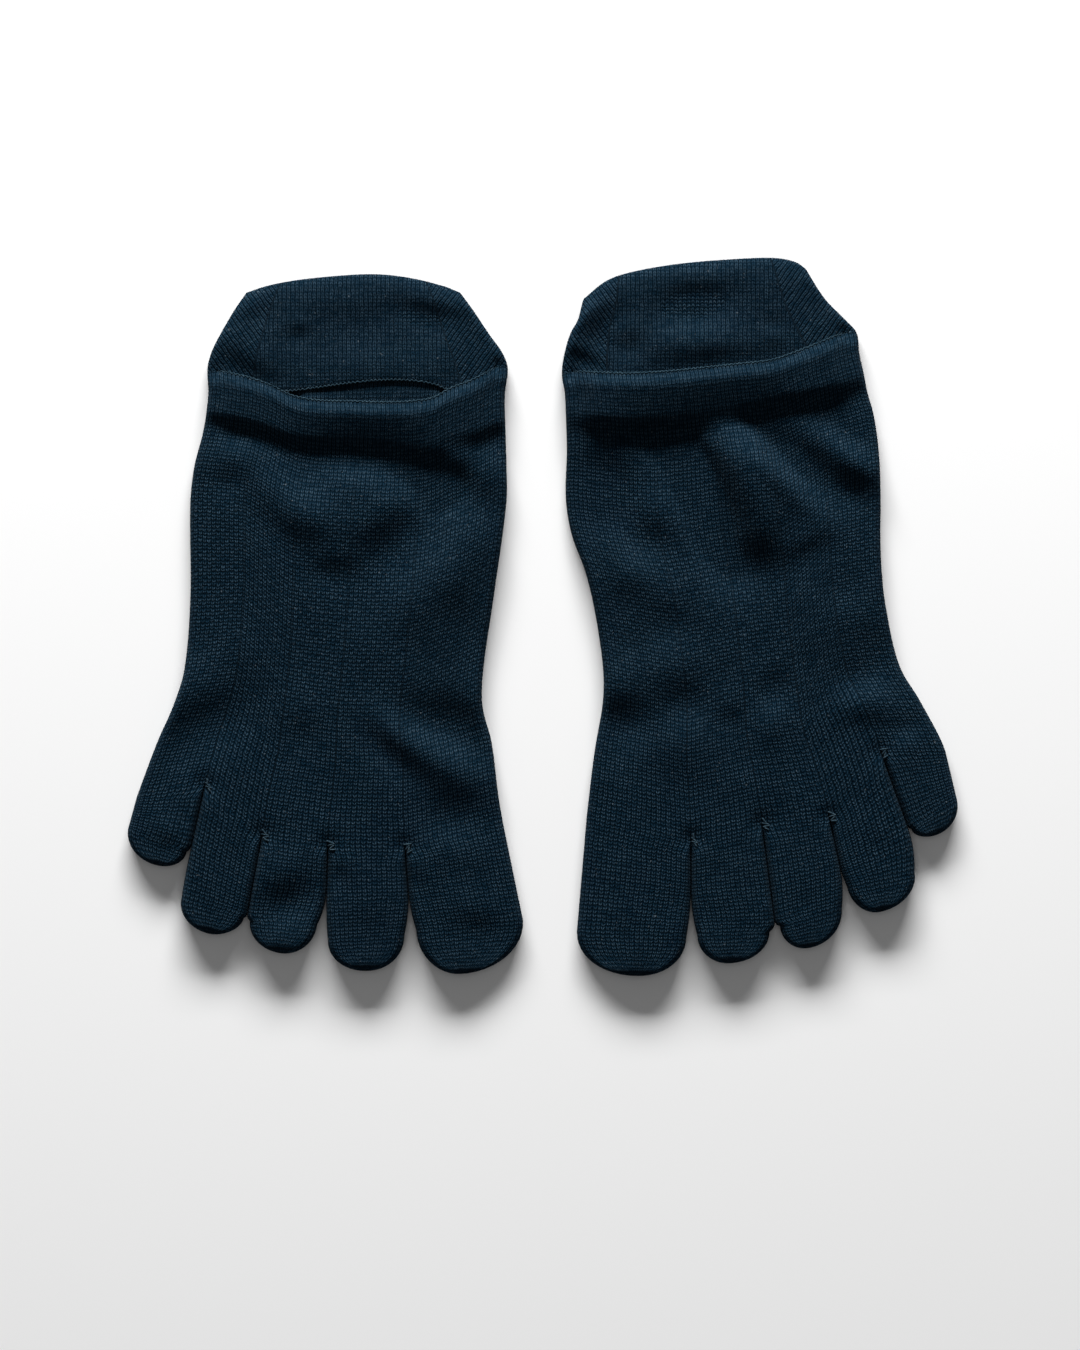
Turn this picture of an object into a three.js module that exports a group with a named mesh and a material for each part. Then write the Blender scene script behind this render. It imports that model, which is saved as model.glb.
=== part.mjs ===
import * as THREE from "three";
import { mergeVertices } from "three/addons/utils/BufferGeometryUtils.js";

// A pair of five-toe socks, laid flat side by side with the soles down.
// Millimetres: +X to the right, +Y towards the heels, +Z up. The toes point to -Y.
// Each sock is one continuous knit: a sole, an instep, a heel flap folded forward
// on the sole, and five toes, all with a true wall and an empty inside.

const CLOTH = {
  wall: 1.4, // plain knit
  welt: 1.7, // doubled band round the mouth
  turn: 2.6, // plan radius of the fold along the outline
  toeGap: 0.5, // between neighbouring toes, where they touch on the real sock
};

const HEIGHT = {
  flap: 3.3, // upper side of the heel flap
  welt: 7.4, // upper side of the welt, over the flap
  bandSide: 5.5, // the welt beside its side folds
  dip: 3.6, // hollow in front of the welt
  side: 4.6, // instep beside its side folds
  instep: 5.8, // instep away from its sides
};

const REACH = {
  lip: 4.2, // from a mouth corner to the full height of the welt
  weltEdge: 3.6, // length of the step down at the welt's front edge
  band: 8, // from a side fold to the welt's full height
  dip: 14, // length of the rise out of the hollow
  side: 13, // from a side fold to the full instep
  web: 3.2, // radius of the tuck at each toe web
};

const WEB_TUCK = 1.1;

// Rows of the knit, as shares of the way from heel to mouth and from mouth to webs.
const FOLD_TURNS = [0, 45, 90];
const HEEL_ROWS = [0.24, 0.4, 0.56, 0.72, 0.87];
const FOOT_ROWS = [
  0, 0.03, 0.06, 0.082, 0.098, 0.116, 0.14, 0.17, 0.205, 0.245, 0.29, 0.34, 0.4, 0.47, 0.55, 0.64, 0.73, 0.82, 0.91, 1,
];
const SHAFT_ROWS = [0, 0.14, 0.38, 0.7, 1];
const TIP_TURNS = [32, 58, 76, 90];

// Every table below is in the sock's own millimetres. "edges" gives the outline at each
// height, "heel" its rise over the line between the heel corners, and "mouth" how far
// the front rim, the back rim and the welt's edge lie forward of the mouth's corners.

const LEFT_SOCK = {
  name: "left_sock",
  centre: { x: -65.2, y: 0 },
  heelCorners: { left: 97.3, right: 97.3 },
  mouthCorners: { left: 73.6, right: 75.2 },
  toeRoots: { left: -53.9, right: -62.2 },
  edges: [
    { y: 97.3, left: -23.7, right: 40.5 },
    { y: 92.0, left: -27.3, right: 44.4 },
    { y: 84.8, left: -31.5, right: 49.2 },
    { y: 79.3, left: -34.2, right: 53.1 },
    { y: 74.5, left: -35.4, right: 54.8 },
    { y: 66.8, left: -35.1, right: 53.9 },
    { y: 55.9, left: -36.6, right: 54.1 },
    { y: 45.1, left: -39.3, right: 54.4 },
    { y: 34.4, left: -40.5, right: 54.4 },
    { y: 5.5, left: -40.5, right: 50.5 },
    { y: -16.1, left: -42.3, right: 47.4 },
    { y: -26.8, left: -45.6, right: 47.2 },
    { y: -37.6, left: -50.4, right: 49.9 },
    { y: -53.9, left: -56.5, right: 52.0 },
    { y: -62.2, left: -59.4, right: 53.4 },
  ],
  heel: [
    { across: 0, rise: 0 },
    { across: 0.1, rise: 2.1 },
    { across: 0.25, rise: 3.9 },
    { across: 0.5, rise: 5.4 },
    { across: 0.65, rise: 5.4 },
    { across: 0.8, rise: 4.0 },
    { across: 0.93, rise: 1.8 },
    { across: 1, rise: 0 },
  ],
  mouth: [
    { across: 0, front: 0, back: 0, welt: 13 },
    { across: 0.042, front: 0.9, back: 0.4, welt: 13 },
    { across: 0.12, front: 2.6, back: 4.6, welt: 13 },
    { across: 0.2, front: 5.1, back: 5.9, welt: 12.8 },
    { across: 0.27, front: 8.2, back: 5.8, welt: 12.2 },
    { across: 0.36, front: 9.8, back: 5.0, welt: 11.8 },
    { across: 0.48, front: 10.3, back: 3.8, welt: 11.9 },
    { across: 0.6, front: 10.8, back: 3.1, welt: 12.8 },
    { across: 0.7, front: 10.6, back: 3.5, welt: 13.6 },
    { across: 0.77, front: 9.6, back: 4.6, welt: 14.4 },
    { across: 0.83, front: 6.9, back: 6.5, welt: 15 },
    { across: 0.9, front: 4.7, back: 6.3, welt: 16 },
    { across: 0.965, front: 1.9, back: 1.3, welt: 17 },
    { across: 1, front: 0, back: 0, welt: 17.5 },
  ],
  webs: [
    { x: -36.0, y: -50.5, gapX: -40.6, gapY: -71.0 },
    { x: -18.9, y: -65.5, gapX: -23.4, gapY: -89.5 },
    { x: 0.9, y: -68.5, gapX: 0.4, gapY: -82.0 },
    { x: 24.0, y: -69.1, gapX: 24.9, gapY: -82.0 },
  ],
  toes: [
    { cells: 2, tipX: -49.5, tipY: -74.8, leftX: -59.2, leftY: -63.8, rightX: -41.6, rightY: -70.6, square: 2.0 },
    { cells: 2, tipX: -34.4, tipY: -95.2, leftX: -43.2, leftY: -85.0, rightX: -24.4, rightY: -90.4, square: 1.9 },
    { cells: 3, tipX: -13.2, tipY: -101.0, leftX: -22.6, leftY: -91.3, rightX: -2.4, rightY: -92.5, square: 2.0 },
    { cells: 3, tipX: 12.0, tipY: -106.3, leftX: 0.8, leftY: -97.0, rightX: 23.8, rightY: -95.5, square: 2.1 },
    { cells: 4, tipX: 40.5, tipY: -107.2, leftX: 27.3, leftY: -94.0, rightX: 59.4, rightY: -91.3, square: 2.0 },
  ],
  folds: [
    { x: 2, y: 32, turn: 0, length: 17, width: 9, rise: 1.4 },
    { x: -17.5, y: 26, turn: -42, length: 15, width: 4.5, rise: -1.0 },
    { x: 21, y: 23.5, turn: 40, length: 13, width: 4.5, rise: -0.9 },
    { x: 29, y: 11, turn: 10, length: 12, width: 9, rise: 0.6 },
    { x: 21.6, y: -40.4, turn: -45, length: 9, width: 3.4, rise: -1.0 },
    { x: 35, y: -38.6, turn: -29, length: 12, width: 4, rise: 0.9 },
    { x: 37, y: -54, turn: 0, length: 10, width: 4.5, rise: -0.7 },
  ],
};

const RIGHT_SOCK = {
  name: "right_sock",
  centre: { x: 65.2, y: 0 },
  heelCorners: { left: 95.5, right: 104.5 },
  mouthCorners: { left: 73.0, right: 85.6 },
  toeRoots: { left: -59.5, right: -40.6 },
  edges: [
    { y: 104.5, left: -48.0, right: 13.8 },
    { y: 95.5, left: -52.8, right: 19.5 },
    { y: 89.0, left: -54.6, right: 25.8 },
    { y: 85.3, left: -56.7, right: 29.1 },
    { y: 79.5, left: -58.5, right: 29.8 },
    { y: 73.0, left: -59.4, right: 31.2 },
    { y: 66.8, left: -58.5, right: 32.5 },
    { y: 60.8, left: -58.2, right: 34.2 },
    { y: 49.9, left: -57.9, right: 35.7 },
    { y: 35.5, left: -58.2, right: 36.3 },
    { y: 24.5, left: -56.4, right: 36.2 },
    { y: 13.9, left: -52.5, right: 36.6 },
    { y: 3.1, left: -49.8, right: 37.8 },
    { y: -14.8, left: -47.1, right: 42.0 },
    { y: -25.6, left: -47.1, right: 48.3 },
    { y: -40.6, left: -49.6, right: 55.8 },
    { y: -59.5, left: -51.9, right: 59.1 },
  ],
  heel: [
    { across: 0, rise: 0 },
    { across: 0.1, rise: 4.4 },
    { across: 0.22, rise: 6.1 },
    { across: 0.45, rise: 6.6 },
    { across: 0.75, rise: 5.4 },
    { across: 0.88, rise: 4.2 },
    { across: 0.96, rise: 2.2 },
    { across: 1, rise: 0 },
  ],
  mouth: [
    { across: 0, front: 0, back: 0, welt: 13.2 },
    { across: 0.042, front: 0.9, back: 0.4, welt: 13.2 },
    { across: 0.11, front: 2.1, back: 3.8, welt: 13.5 },
    { across: 0.22, front: 3.6, back: 6.5, welt: 13.8 },
    { across: 0.354, front: 4.6, back: 8.0, welt: 14.2 },
    { across: 0.47, front: 5.0, back: 8.4, welt: 14.2 },
    { across: 0.59, front: 5.3, back: 8.6, welt: 13.2 },
    { across: 0.72, front: 5.6, back: 8.4, welt: 11.4 },
    { across: 0.8, front: 4.4, back: 7.2, welt: 12 },
    { across: 0.88, front: 2.7, back: 5.2, welt: 13.2 },
    { across: 0.96, front: 0.9, back: 0.4, welt: 14 },
    { across: 1, front: 0, back: 0, welt: 14 },
  ],
  webs: [
    { x: -20.7, y: -67.0, gapX: -20.7, gapY: -82.0 },
    { x: 0.6, y: -62.2, gapX: 4.5, gapY: -91.6 },
    { x: 20.7, y: -59.8, gapX: 24.0, gapY: -74.8 },
    { x: 36.3, y: -40.6, gapX: 44.4, gapY: -63.1 },
  ],
  toes: [
    { cells: 4, tipX: -36.6, tipY: -107.8, leftX: -54.9, leftY: -94.6, rightX: -22.0, rightY: -95.8, square: 2.1 },
    { cells: 3, tipX: -9.6, tipY: -104.0, leftX: -18.8, leftY: -95.5, rightX: 2.9, rightY: -94.6, square: 2.0 },
    { cells: 3, tipX: 13.8, tipY: -99.5, leftX: 6.0, leftY: -92.8, rightX: 24.6, rightY: -87.5, square: 2.0 },
    { cells: 2, tipX: 36.0, tipY: -88.6, leftX: 26.1, leftY: -80.8, rightX: 46.4, rightY: -76.6, square: 2.0 },
    { cells: 2, tipX: 52.0, tipY: -65.8, leftX: 45.4, leftY: -63.6, rightX: 59.2, rightY: -55.0, square: 2.0 },
  ],
  folds: [
    { x: -47, y: 51, turn: -8, length: 11, width: 5, rise: 1.0 },
    { x: -47, y: 38, turn: -8, length: 11, width: 5, rise: -0.8 },
    { x: -15, y: 34, turn: -58, length: 17, width: 5, rise: -1.5 },
    { x: 2, y: 41, turn: -47, length: 16, width: 6, rise: 1.7 },
    { x: 5, y: 16, turn: 5, length: 11, width: 4.5, rise: -0.9 },
    { x: 15, y: 45, turn: -36, length: 13, width: 4, rise: -0.8 },
    { x: 23, y: 53, turn: -36, length: 11, width: 4, rise: 0.9 },
    { x: -36, y: 18, turn: 0, length: 12, width: 11, rise: 0.5 },
  ],
};

const KNIT_COLOUR = "#0f1d27";

const mix = (from, to, share) => from + (to - from) * share;
const radians = THREE.MathUtils.degToRad;

// The way from 0 to 1 with level ends.
function ease(value, from, to) {
  return THREE.MathUtils.smoothstep(value, Math.min(from, to), Math.max(from, to));
}

// A smooth curve through one column of a table, looked up by another column.
function follow(table, key, column, at) {
  const rows = [...table].sort((a, b) => a[key] - b[key]);
  const last = rows.length - 1;
  const slope = (index) => {
    const before = rows[Math.max(index - 1, 0)];
    const after = rows[Math.min(index + 1, last)];
    return (after[column] - before[column]) / (after[key] - before[key]);
  };
  const place = THREE.MathUtils.clamp(at, rows[0][key], rows[last][key]);
  const index = Math.max(rows.findIndex((row) => row[key] >= place), 1);
  const from = rows[index - 1];
  const to = rows[index];
  const step = to[key] - from[key];
  const t = (place - from[key]) / step;
  const arrive = (3 - 2 * t) * t * t;
  const leaving = t * (1 - t) * (1 - t) * step * slope(index - 1);
  const arriving = t * t * (t - 1) * step * slope(index);
  return mix(from[column], to[column], arrive) + leaving + arriving;
}

// The plan of one toe: its two sides from the webs to the shoulders, then its round tip.
// "inset" is 0 for the outside of the cloth and the wall for its inside.
class Toe {
  constructor(sock, index, inset) {
    this.row = sock.toes[index];
    this.inset = inset;
    const tip = new THREE.Vector2(this.row.tipX, this.row.tipY);
    const webs = [sock.webs[index - 1], sock.webs[index]];
    this.roots = [-1, 1].map((side, which) => this.root(sock, webs[which], side));
    this.forward = tip.clone().sub(this.roots[0].clone().lerp(this.roots[1], 0.5)).normalize();
    this.across = new THREE.Vector2(-this.forward.y, this.forward.x);
    this.tip = tip.addScaledVector(this.forward, -inset);
    this.shoulders = [
      new THREE.Vector2(this.row.leftX, this.row.leftY).addScaledVector(this.across, inset),
      new THREE.Vector2(this.row.rightX, this.row.rightY).addScaledVector(this.across, -inset),
    ];
    this.folded = webs.map((web) => web === undefined);
    this.sides = webs.map((web, which) => this.side(web, which));
  }

  // Where a side starts: beside its web, or on the sock's outline.
  root(sock, web, side) {
    if (web) {
      return new THREE.Vector2(web.x - side * (CLOTH.toeGap / 2 + this.inset), web.y + this.inset);
    }
    const end = side < 0 ? "left" : "right";
    const y = sock.toeRoots[end];
    return new THREE.Vector2(follow(sock.edges, "y", end, y) - side * this.inset, y);
  }

  // Beside a web the side runs down the crease to the gap, then bends to the shoulder.
  side(web, which) {
    const path = new THREE.CurvePath();
    const start = this.roots[which];
    const end = this.shoulders[which];
    const inward = which === 0 ? 1 : -1;
    if (!web) {
      path.add(new THREE.LineCurve(start, end));
      return path;
    }
    const gap = new THREE.Vector2(web.gapX + inward * (CLOTH.toeGap / 2 + this.inset), web.gapY);
    const onward = gap.clone().sub(start).normalize().multiplyScalar(end.distanceTo(gap) * 0.5).add(gap);
    path.add(new THREE.LineCurve(start, gap));
    path.add(new THREE.QuadraticBezierCurve(gap, onward, end));
    return path;
  }

  // The left and right outline points of every row, with how far the row has closed.
  rows() {
    const shaft = SHAFT_ROWS.map((share) => ({
      ends: this.sides.map((side) => side.getPoint(share)),
      widen: this.folded.map((folded) => (folded ? 1 : ease(share, 0, 0.38))),
      close: 1,
    }));
    const round = TIP_TURNS.map((turn) => {
      const ends = this.shoulders.map((shoulder) => this.tipPoint(shoulder, turn));
      const toTip = ends[0].clone().lerp(ends[1], 0.5).distanceTo(this.tip);
      const reach = Math.min(toTip / (CLOTH.turn - this.inset), 1);
      return { ends, widen: [1, 1], close: Math.sqrt(1 - (1 - reach) ** 2) };
    });
    return [...shaft, ...round];
  }

  // A quarter of a rounded oval from a shoulder to the tip.
  tipPoint(shoulder, turn) {
    const power = 2 / this.row.square;
    const back = this.tip.clone().sub(shoulder).dot(this.across);
    const corner = shoulder.clone().addScaledVector(this.across, back);
    const sideways = Math.cos(radians(turn)) ** power;
    const forward = Math.sin(radians(turn)) ** power;
    const point = corner.clone();
    point.addScaledVector(shoulder.clone().sub(corner), turn === 90 ? 0 : sideways);
    point.addScaledVector(this.tip.clone().sub(corner), forward);
    return point;
  }

  // The plan points of one row, from its left fold to its right fold.
  planRow(row) {
    const [left, right] = row.ends;
    const width = left.distanceTo(right);
    const direction = width > 0 ? right.clone().sub(left).divideScalar(width) : this.across;
    const radius = row.widen.map((widen) => Math.min((CLOTH.turn - this.inset) * widen, width * 0.4));
    const reach = (turn, which) => radius[which] * (1 - Math.cos(radians(turn)));
    const points = FOLD_TURNS.slice(0, -1).map((turn) => ({
      turn,
      place: left.clone().addScaledVector(direction, reach(turn, 0)),
    }));
    for (let cell = 0; cell <= this.row.cells; cell += 1) {
      const along = mix(radius[0], width - radius[1], cell / this.row.cells);
      points.push({ turn: 90, place: left.clone().addScaledVector(direction, along) });
    }
    for (const turn of FOLD_TURNS.slice(0, -1).reverse()) {
      points.push({ turn, place: right.clone().addScaledVector(direction, -reach(turn, 1)) });
    }
    return points;
  }
}

class Sock {
  constructor(tables) {
    Object.assign(this, tables);
    this.faces = [];
    this.heelLength = tables.heelCorners.left - tables.mouthCorners.left;
    const [left, right] = ["left", "right"].map((end) => this.outline(end, 1));
    const fold = CLOTH.turn / (right.x - left.x);
    this.corners = [left.clone().lerp(right, fold), right.clone().lerp(left, fold)];
  }

  // The outline at one side: 0 at the heel corner, 1 at the mouth corner, 2 at the toes.
  outline(end, place) {
    const stops = [this.heelCorners[end], this.mouthCorners[end], this.toeRoots[end]];
    const y = place < 1 ? mix(stops[0], stops[1], place) : mix(stops[1], stops[2], place - 1);
    return new THREE.Vector2(follow(this.edges, "y", end, y), y);
  }

  // The places of the body's columns in their first and last rows.
  columns(inset) {
    const toes = this.toes.map((_, index) => new Toe(this, index, inset));
    const rows = toes.map((toe) => toe.planRow(toe.rows()[0]));
    const leftFold = rows[0].filter((point) => point.turn < 90).slice(0, 2);
    const rightFold = rows.at(-1).filter((point) => point.turn < 90).slice(-2);
    const inner = rows.flatMap((row) => row.filter((point) => point.turn === 90));
    const spread = (index) => {
      const even = index / (inner.length - 1);
      return even - (0.65 * Math.sin(2 * Math.PI * even)) / (2 * Math.PI);
    };
    return [
      ...leftFold.map((point) => ({ ...point, share: 0, side: "left" })),
      ...inner.map((point, index) => ({ ...point, share: spread(index) })),
      ...rightFold.map((point) => ({ ...point, share: 1, side: "right" })),
    ];
  }

  // A body point in plan. The sheet is the sole, the flap or the instep.
  plan(column, place, sheet, inset) {
    const [left, right] = ["left", "right"].map((end) => this.outline(end, place));
    const fold = inset + (CLOTH.turn - inset) * (1 - Math.cos(radians(column.turn)));
    let x = mix(left.x + CLOTH.turn, right.x - CLOTH.turn, column.share);
    if (column.side) {
      x = column.side === "left" ? left.x + fold : right.x - fold;
    }
    const done = Math.max(place - 1, 0);
    const ends = ["left", "right"].map((end) => this.outline(end, 2));
    const rootAcross = (column.place.x - ends[0].x) / (ends[1].x - ends[0].x);
    const across = mix((x - left.x) / (right.x - left.x), rootAcross, done);
    const sag = column.place.y - mix(ends[0].y, ends[1].y, rootAcross);
    x = mix(left.x, right.x, across);
    let y = mix(left.y, right.y, across) + sag * done;
    y += follow(this.heel, "across", "rise", across) * Math.max(1 - place, 0);
    if (sheet !== "sole") {
      const rim = sheet === "flap" ? "back" : "front";
      const shift = follow(this.mouth, "across", rim, column.share);
      const folded = CLOTH.turn / this.heelLength;
      y -= shift * (sheet === "flap" ? Math.max((place - folded) / (1 - folded), 0) : 1 - done);
    }
    return new THREE.Vector2(x, y);
  }

  // How far forward of the front rim a point lies.
  pastRim(point, share) {
    const line = mix(this.corners[0].y, this.corners[1].y, share);
    return line - follow(this.mouth, "across", "front", share) - point.y;
  }

  cornerShare(point) {
    const distance = Math.min(...this.corners.map((corner) => corner.distanceTo(point)));
    return ease(distance, 0, REACH.lip);
  }

  // Largest folds of the instep, and the tuck at each web.
  creases(point) {
    let rise = 0;
    for (const fold of this.folds) {
      const from = point.clone().sub(new THREE.Vector2(fold.x, fold.y));
      from.rotateAround(new THREE.Vector2(), -radians(fold.turn));
      rise += fold.rise * Math.exp(-((from.x / fold.length) ** 2) - (from.y / fold.width) ** 2);
    }
    for (const web of this.webs) {
      const distance = point.distanceTo(new THREE.Vector2(web.x, web.y));
      rise -= WEB_TUCK * Math.exp(-((distance / REACH.web) ** 2));
    }
    return rise;
  }

  // The height of the instep's upper side, toes included.
  instepTop(point, share) {
    const past = this.pastRim(point, share);
    const beyond = past - follow(this.mouth, "across", "welt", share);
    const fromSide = this.sideDistance(point);
    const foot = mix(HEIGHT.side, HEIGHT.instep, ease(fromSide, 0, REACH.side)) + this.creases(point);
    const open = mix(HEIGHT.dip, foot, ease(beyond, REACH.weltEdge, REACH.weltEdge + REACH.dip));
    const band = mix(HEIGHT.bandSide, HEIGHT.welt, ease(fromSide, 0, REACH.band));
    const welted = mix(band, open, ease(beyond, -REACH.weltEdge / 2, REACH.weltEdge));
    return mix(HEIGHT.flap, welted, this.cornerShare(point));
  }

  sideDistance(point) {
    const left = point.x - follow(this.edges, "y", "left", point.y);
    const right = follow(this.edges, "y", "right", point.y) - point.x;
    return Math.max(Math.min(left, right) - CLOTH.turn, 0);
  }

  wallAt(point, share) {
    const beyond = this.pastRim(point, share) - follow(this.mouth, "across", "welt", share);
    const band = 1 - ease(beyond, -REACH.weltEdge / 2, REACH.weltEdge);
    return mix(CLOTH.wall, CLOTH.welt, band * this.cornerShare(point));
  }

  // Stands a row up into its upper and lower points, closed round the folds at its ends.
  // Inside a fold the height is that of the fold's own end.
  raise(points, close, topOf, wallOf, middles, inset) {
    const level = points.filter((point) => point.turn === 90);
    return points.map(({ place, turn, which }, at) => {
      const lift = Math.sin(radians(turn)) * close;
      const middle = middles[which];
      const own = turn === 90 ? points[at] : level.at(which === 0 ? 0 : -1);
      const cut = inset > 0 ? wallOf(own.place, own.share) : 0;
      const top = topOf(own.place, own.share) - cut;
      return {
        top: new THREE.Vector3(place.x, place.y, mix(middle, top, lift)),
        bottom: new THREE.Vector3(place.x, place.y, mix(middle, inset, lift)),
      };
    });
  }

  // One body row of a sheet, as upper and lower points.
  bodyRow(columns, place, sheet, close, inset) {
    const isFlap = place < 1 || (place === 1 && sheet === "flap");
    const topOf = (point, share) => (isFlap ? HEIGHT.flap : this.instepTop(point, share));
    const wallOf = (point, share) => (isFlap ? CLOTH.wall : this.wallAt(point, share));
    const middleSheet = isFlap ? "flap" : "instep";
    const middles = [0, 1].map((share) => {
      const column = columns.find((each) => each.turn === 90 && each.share === share);
      return topOf(this.plan(column, place, middleSheet, inset), share) / 2;
    });
    const points = columns.map((column) => ({
      place: this.plan(column, place, sheet, inset),
      turn: column.turn,
      share: column.share,
      which: column.share < 0.5 ? 0 : 1,
    }));
    return this.raise(points, close, topOf, wallOf, middles, inset);
  }

  // The rows of a toe, as upper and lower points.
  toeRows(index, inset) {
    const toe = new Toe(this, index, inset);
    return toe.rows().map((row) => {
      const points = toe.planRow(row).map((point, at, all) => ({
        ...point,
        share: this.rootShare(index, at, all.length),
        which: at < all.length / 2 ? 0 : 1,
      }));
      const topOf = (point, share) => this.instepTop(point, share);
      const edge = points.filter((point) => point.turn === 90);
      const middles = [edge[0], edge.at(-1)].map((point) => topOf(point.place, point.share) / 2);
      return this.raise(points, row.close, topOf, () => CLOTH.wall, middles, inset);
    });
  }

  // Toes lie so far past the mouth that their share only needs the right half.
  rootShare(index, at, count) {
    return THREE.MathUtils.clamp((index + at / (count - 1)) / this.toes.length, 0, 1);
  }

  // Adds a grid of points as triangles that face up, or towards -Y for an upright grid.
  cover(grid, flip) {
    for (let row = 0; row + 1 < grid.length; row += 1) {
      for (let column = 0; column + 1 < grid[row].length; column += 1) {
        const [a, b] = [grid[row][column], grid[row + 1][column]];
        const [c, d] = [grid[row + 1][column + 1], grid[row][column + 1]];
        const leftHalf = column < (grid[row].length - 1) / 2;
        this.face(a, b, leftHalf ? c : d, flip);
        this.face(leftHalf ? a : b, c, d, flip);
      }
    }
  }

  face(a, b, c, flip) {
    const area = b.clone().sub(a).cross(c.clone().sub(a)).length();
    if (area > 1e-5) {
      this.faces.push(...(flip ? [a, c, b] : [a, b, c]));
    }
  }

  // One whole side of the cloth, outer or inner, with its two rims left open.
  shell(inset) {
    const columns = this.columns(inset);
    const inside = inset > 0;
    const foldRows = FOLD_TURNS.map((turn) => ({
      place: (inset + (CLOTH.turn - inset) * (1 - Math.cos(radians(turn)))) / this.heelLength,
      close: Math.sin(radians(turn)),
    }));
    const heelRows = [...foldRows, ...HEEL_ROWS.map((place) => ({ place, close: 1 })), { place: 1, close: 1 }];
    const footRows = FOOT_ROWS.map((place) => ({ place: place + 1, close: 1 }));
    const build = (rows, sheet) => rows.map((row) => this.bodyRow(columns, row.place, sheet, row.close, inset));
    const flap = build(heelRows, "flap");
    const instep = build(footRows, "instep");
    const soleHeel = build(heelRows.slice(0, -1), "sole");
    const soleFoot = build(footRows, "sole");
    const tops = (rows) => rows.map((row) => row.map((point) => point.top));
    const bottoms = (rows) => rows.map((row) => row.map((point) => point.bottom));
    const soleBottoms = bottoms([...soleHeel, ...soleFoot]);
    this.cover(tops(flap), inside);
    this.cover(tops(instep), inside);
    this.cover(soleBottoms, !inside);
    const toes = this.toes.map((_, index) => this.toeRows(index, inset));
    for (const rows of toes) {
      this.cover(tops(rows), inside);
      this.cover(bottoms(rows), !inside);
    }
    for (let index = 0; index + 1 < toes.length; index += 1) {
      this.cover(this.webWall(toes[index][0], toes[index + 1][0]), inside);
    }
    return { front: tops(instep)[0].slice(2, -2), back: tops(flap).at(-1).slice(2, -2) };
  }

  // The upright strip of cloth between two neighbouring toes.
  webWall(leftRow, rightRow) {
    const folds = FOLD_TURNS.length;
    const left = leftRow.slice(-folds).reverse();
    const right = rightRow.slice(0, folds);
    const upper = left.map((point, index) => [point.top, right[index].top]).reverse();
    const lower = left.map((point, index) => [point.bottom, right[index].bottom]).slice(1);
    return [...upper, ...lower];
  }

  mesh() {
    const outer = this.shell(0);
    const inner = this.shell(CLOTH.wall);
    this.cover([outer.front, inner.front], true);
    this.cover([outer.back, inner.back], false);
    const soup = new THREE.BufferGeometry().setFromPoints(this.faces);
    const geometry = mergeVertices(soup, 2e-4);
    geometry.computeVertexNormals();
    const knit = new THREE.MeshStandardMaterial({ color: KNIT_COLOUR, roughness: 0.95, metalness: 0 });
    const mesh = new THREE.Mesh(geometry, knit);
    mesh.name = this.name;
    mesh.position.set(this.centre.x, this.centre.y, 0);
    return mesh;
  }
}

// The pair's outline is centred on the origin, and the soles rest at zero height.
function centred(group) {
  const middle = new THREE.Box3().setFromObject(group).getCenter(new THREE.Vector3());
  group.position.set(-middle.x, -middle.y, 0);
  group.updateMatrixWorld(true);
  return group;
}

const pair = new THREE.Group();
pair.add(new Sock(LEFT_SOCK).mesh(), new Sock(RIGHT_SOCK).mesh());

export default centred(pair);
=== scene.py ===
"""A pair of five-toe grip socks, laid flat side by side with the soles down.

Each sock is one continuous knit. It is modelled as a thin closed shell: an outside and an
inside surface, worked out on grids whose columns follow the knit's wales and whose rows
follow its courses. A sole, a heel flap folded forward on it, an instep that starts at the
welt, and five toes share those columns. Tables are in millimetres in the sock's own frame,
with the toes towards -Y, and everything is written to the meshes in metres.
"""

from __future__ import annotations

import logging
import math
from dataclasses import dataclass
from enum import Enum
from typing import NamedTuple, Sequence

import bmesh
import bpy
import numpy as np
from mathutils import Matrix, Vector


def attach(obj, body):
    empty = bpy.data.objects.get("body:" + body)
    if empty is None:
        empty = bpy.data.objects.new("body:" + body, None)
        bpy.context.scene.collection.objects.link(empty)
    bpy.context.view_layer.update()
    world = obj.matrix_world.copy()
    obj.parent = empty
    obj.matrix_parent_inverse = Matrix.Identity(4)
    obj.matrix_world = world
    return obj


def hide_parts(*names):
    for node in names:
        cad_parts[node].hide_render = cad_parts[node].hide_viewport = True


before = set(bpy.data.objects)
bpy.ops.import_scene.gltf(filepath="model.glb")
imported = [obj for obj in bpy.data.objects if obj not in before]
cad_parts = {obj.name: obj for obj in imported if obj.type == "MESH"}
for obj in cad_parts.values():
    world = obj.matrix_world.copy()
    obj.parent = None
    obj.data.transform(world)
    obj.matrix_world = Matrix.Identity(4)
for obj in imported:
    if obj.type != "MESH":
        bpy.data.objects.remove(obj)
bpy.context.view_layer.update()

log = logging.getLogger("toe_socks")

MM = 0.001
WELD = 2e-6  # metres within which points of neighbouring grids become one
LEAST_EDGE = 1e-7  # metres under which an edge is taken out
NEARLY_UP = (0.03, 0.02, 1.0)  # a direction that no thread follows
TAPER_POWER = 12  # how late a thread gets thinner towards its ends
TAPER_LEAST = 0.12  # the share of its section that is left there
FRAME_WIDTH = 324.0  # mm of surface across the picture, at 0.30 mm a pixel


class Sheet(Enum):
    """The three layers of cloth that make up a sock's body."""

    SOLE = "sole"
    FLAP = "back"
    INSTEP = "front"


class EdgeRow(NamedTuple):
    """The outline's two sides at one height."""

    y: float
    left: float
    right: float


class HeelRow(NamedTuple):
    """Rise of the heel fold over the line between the heel corners."""

    across: float
    rise: float


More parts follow.
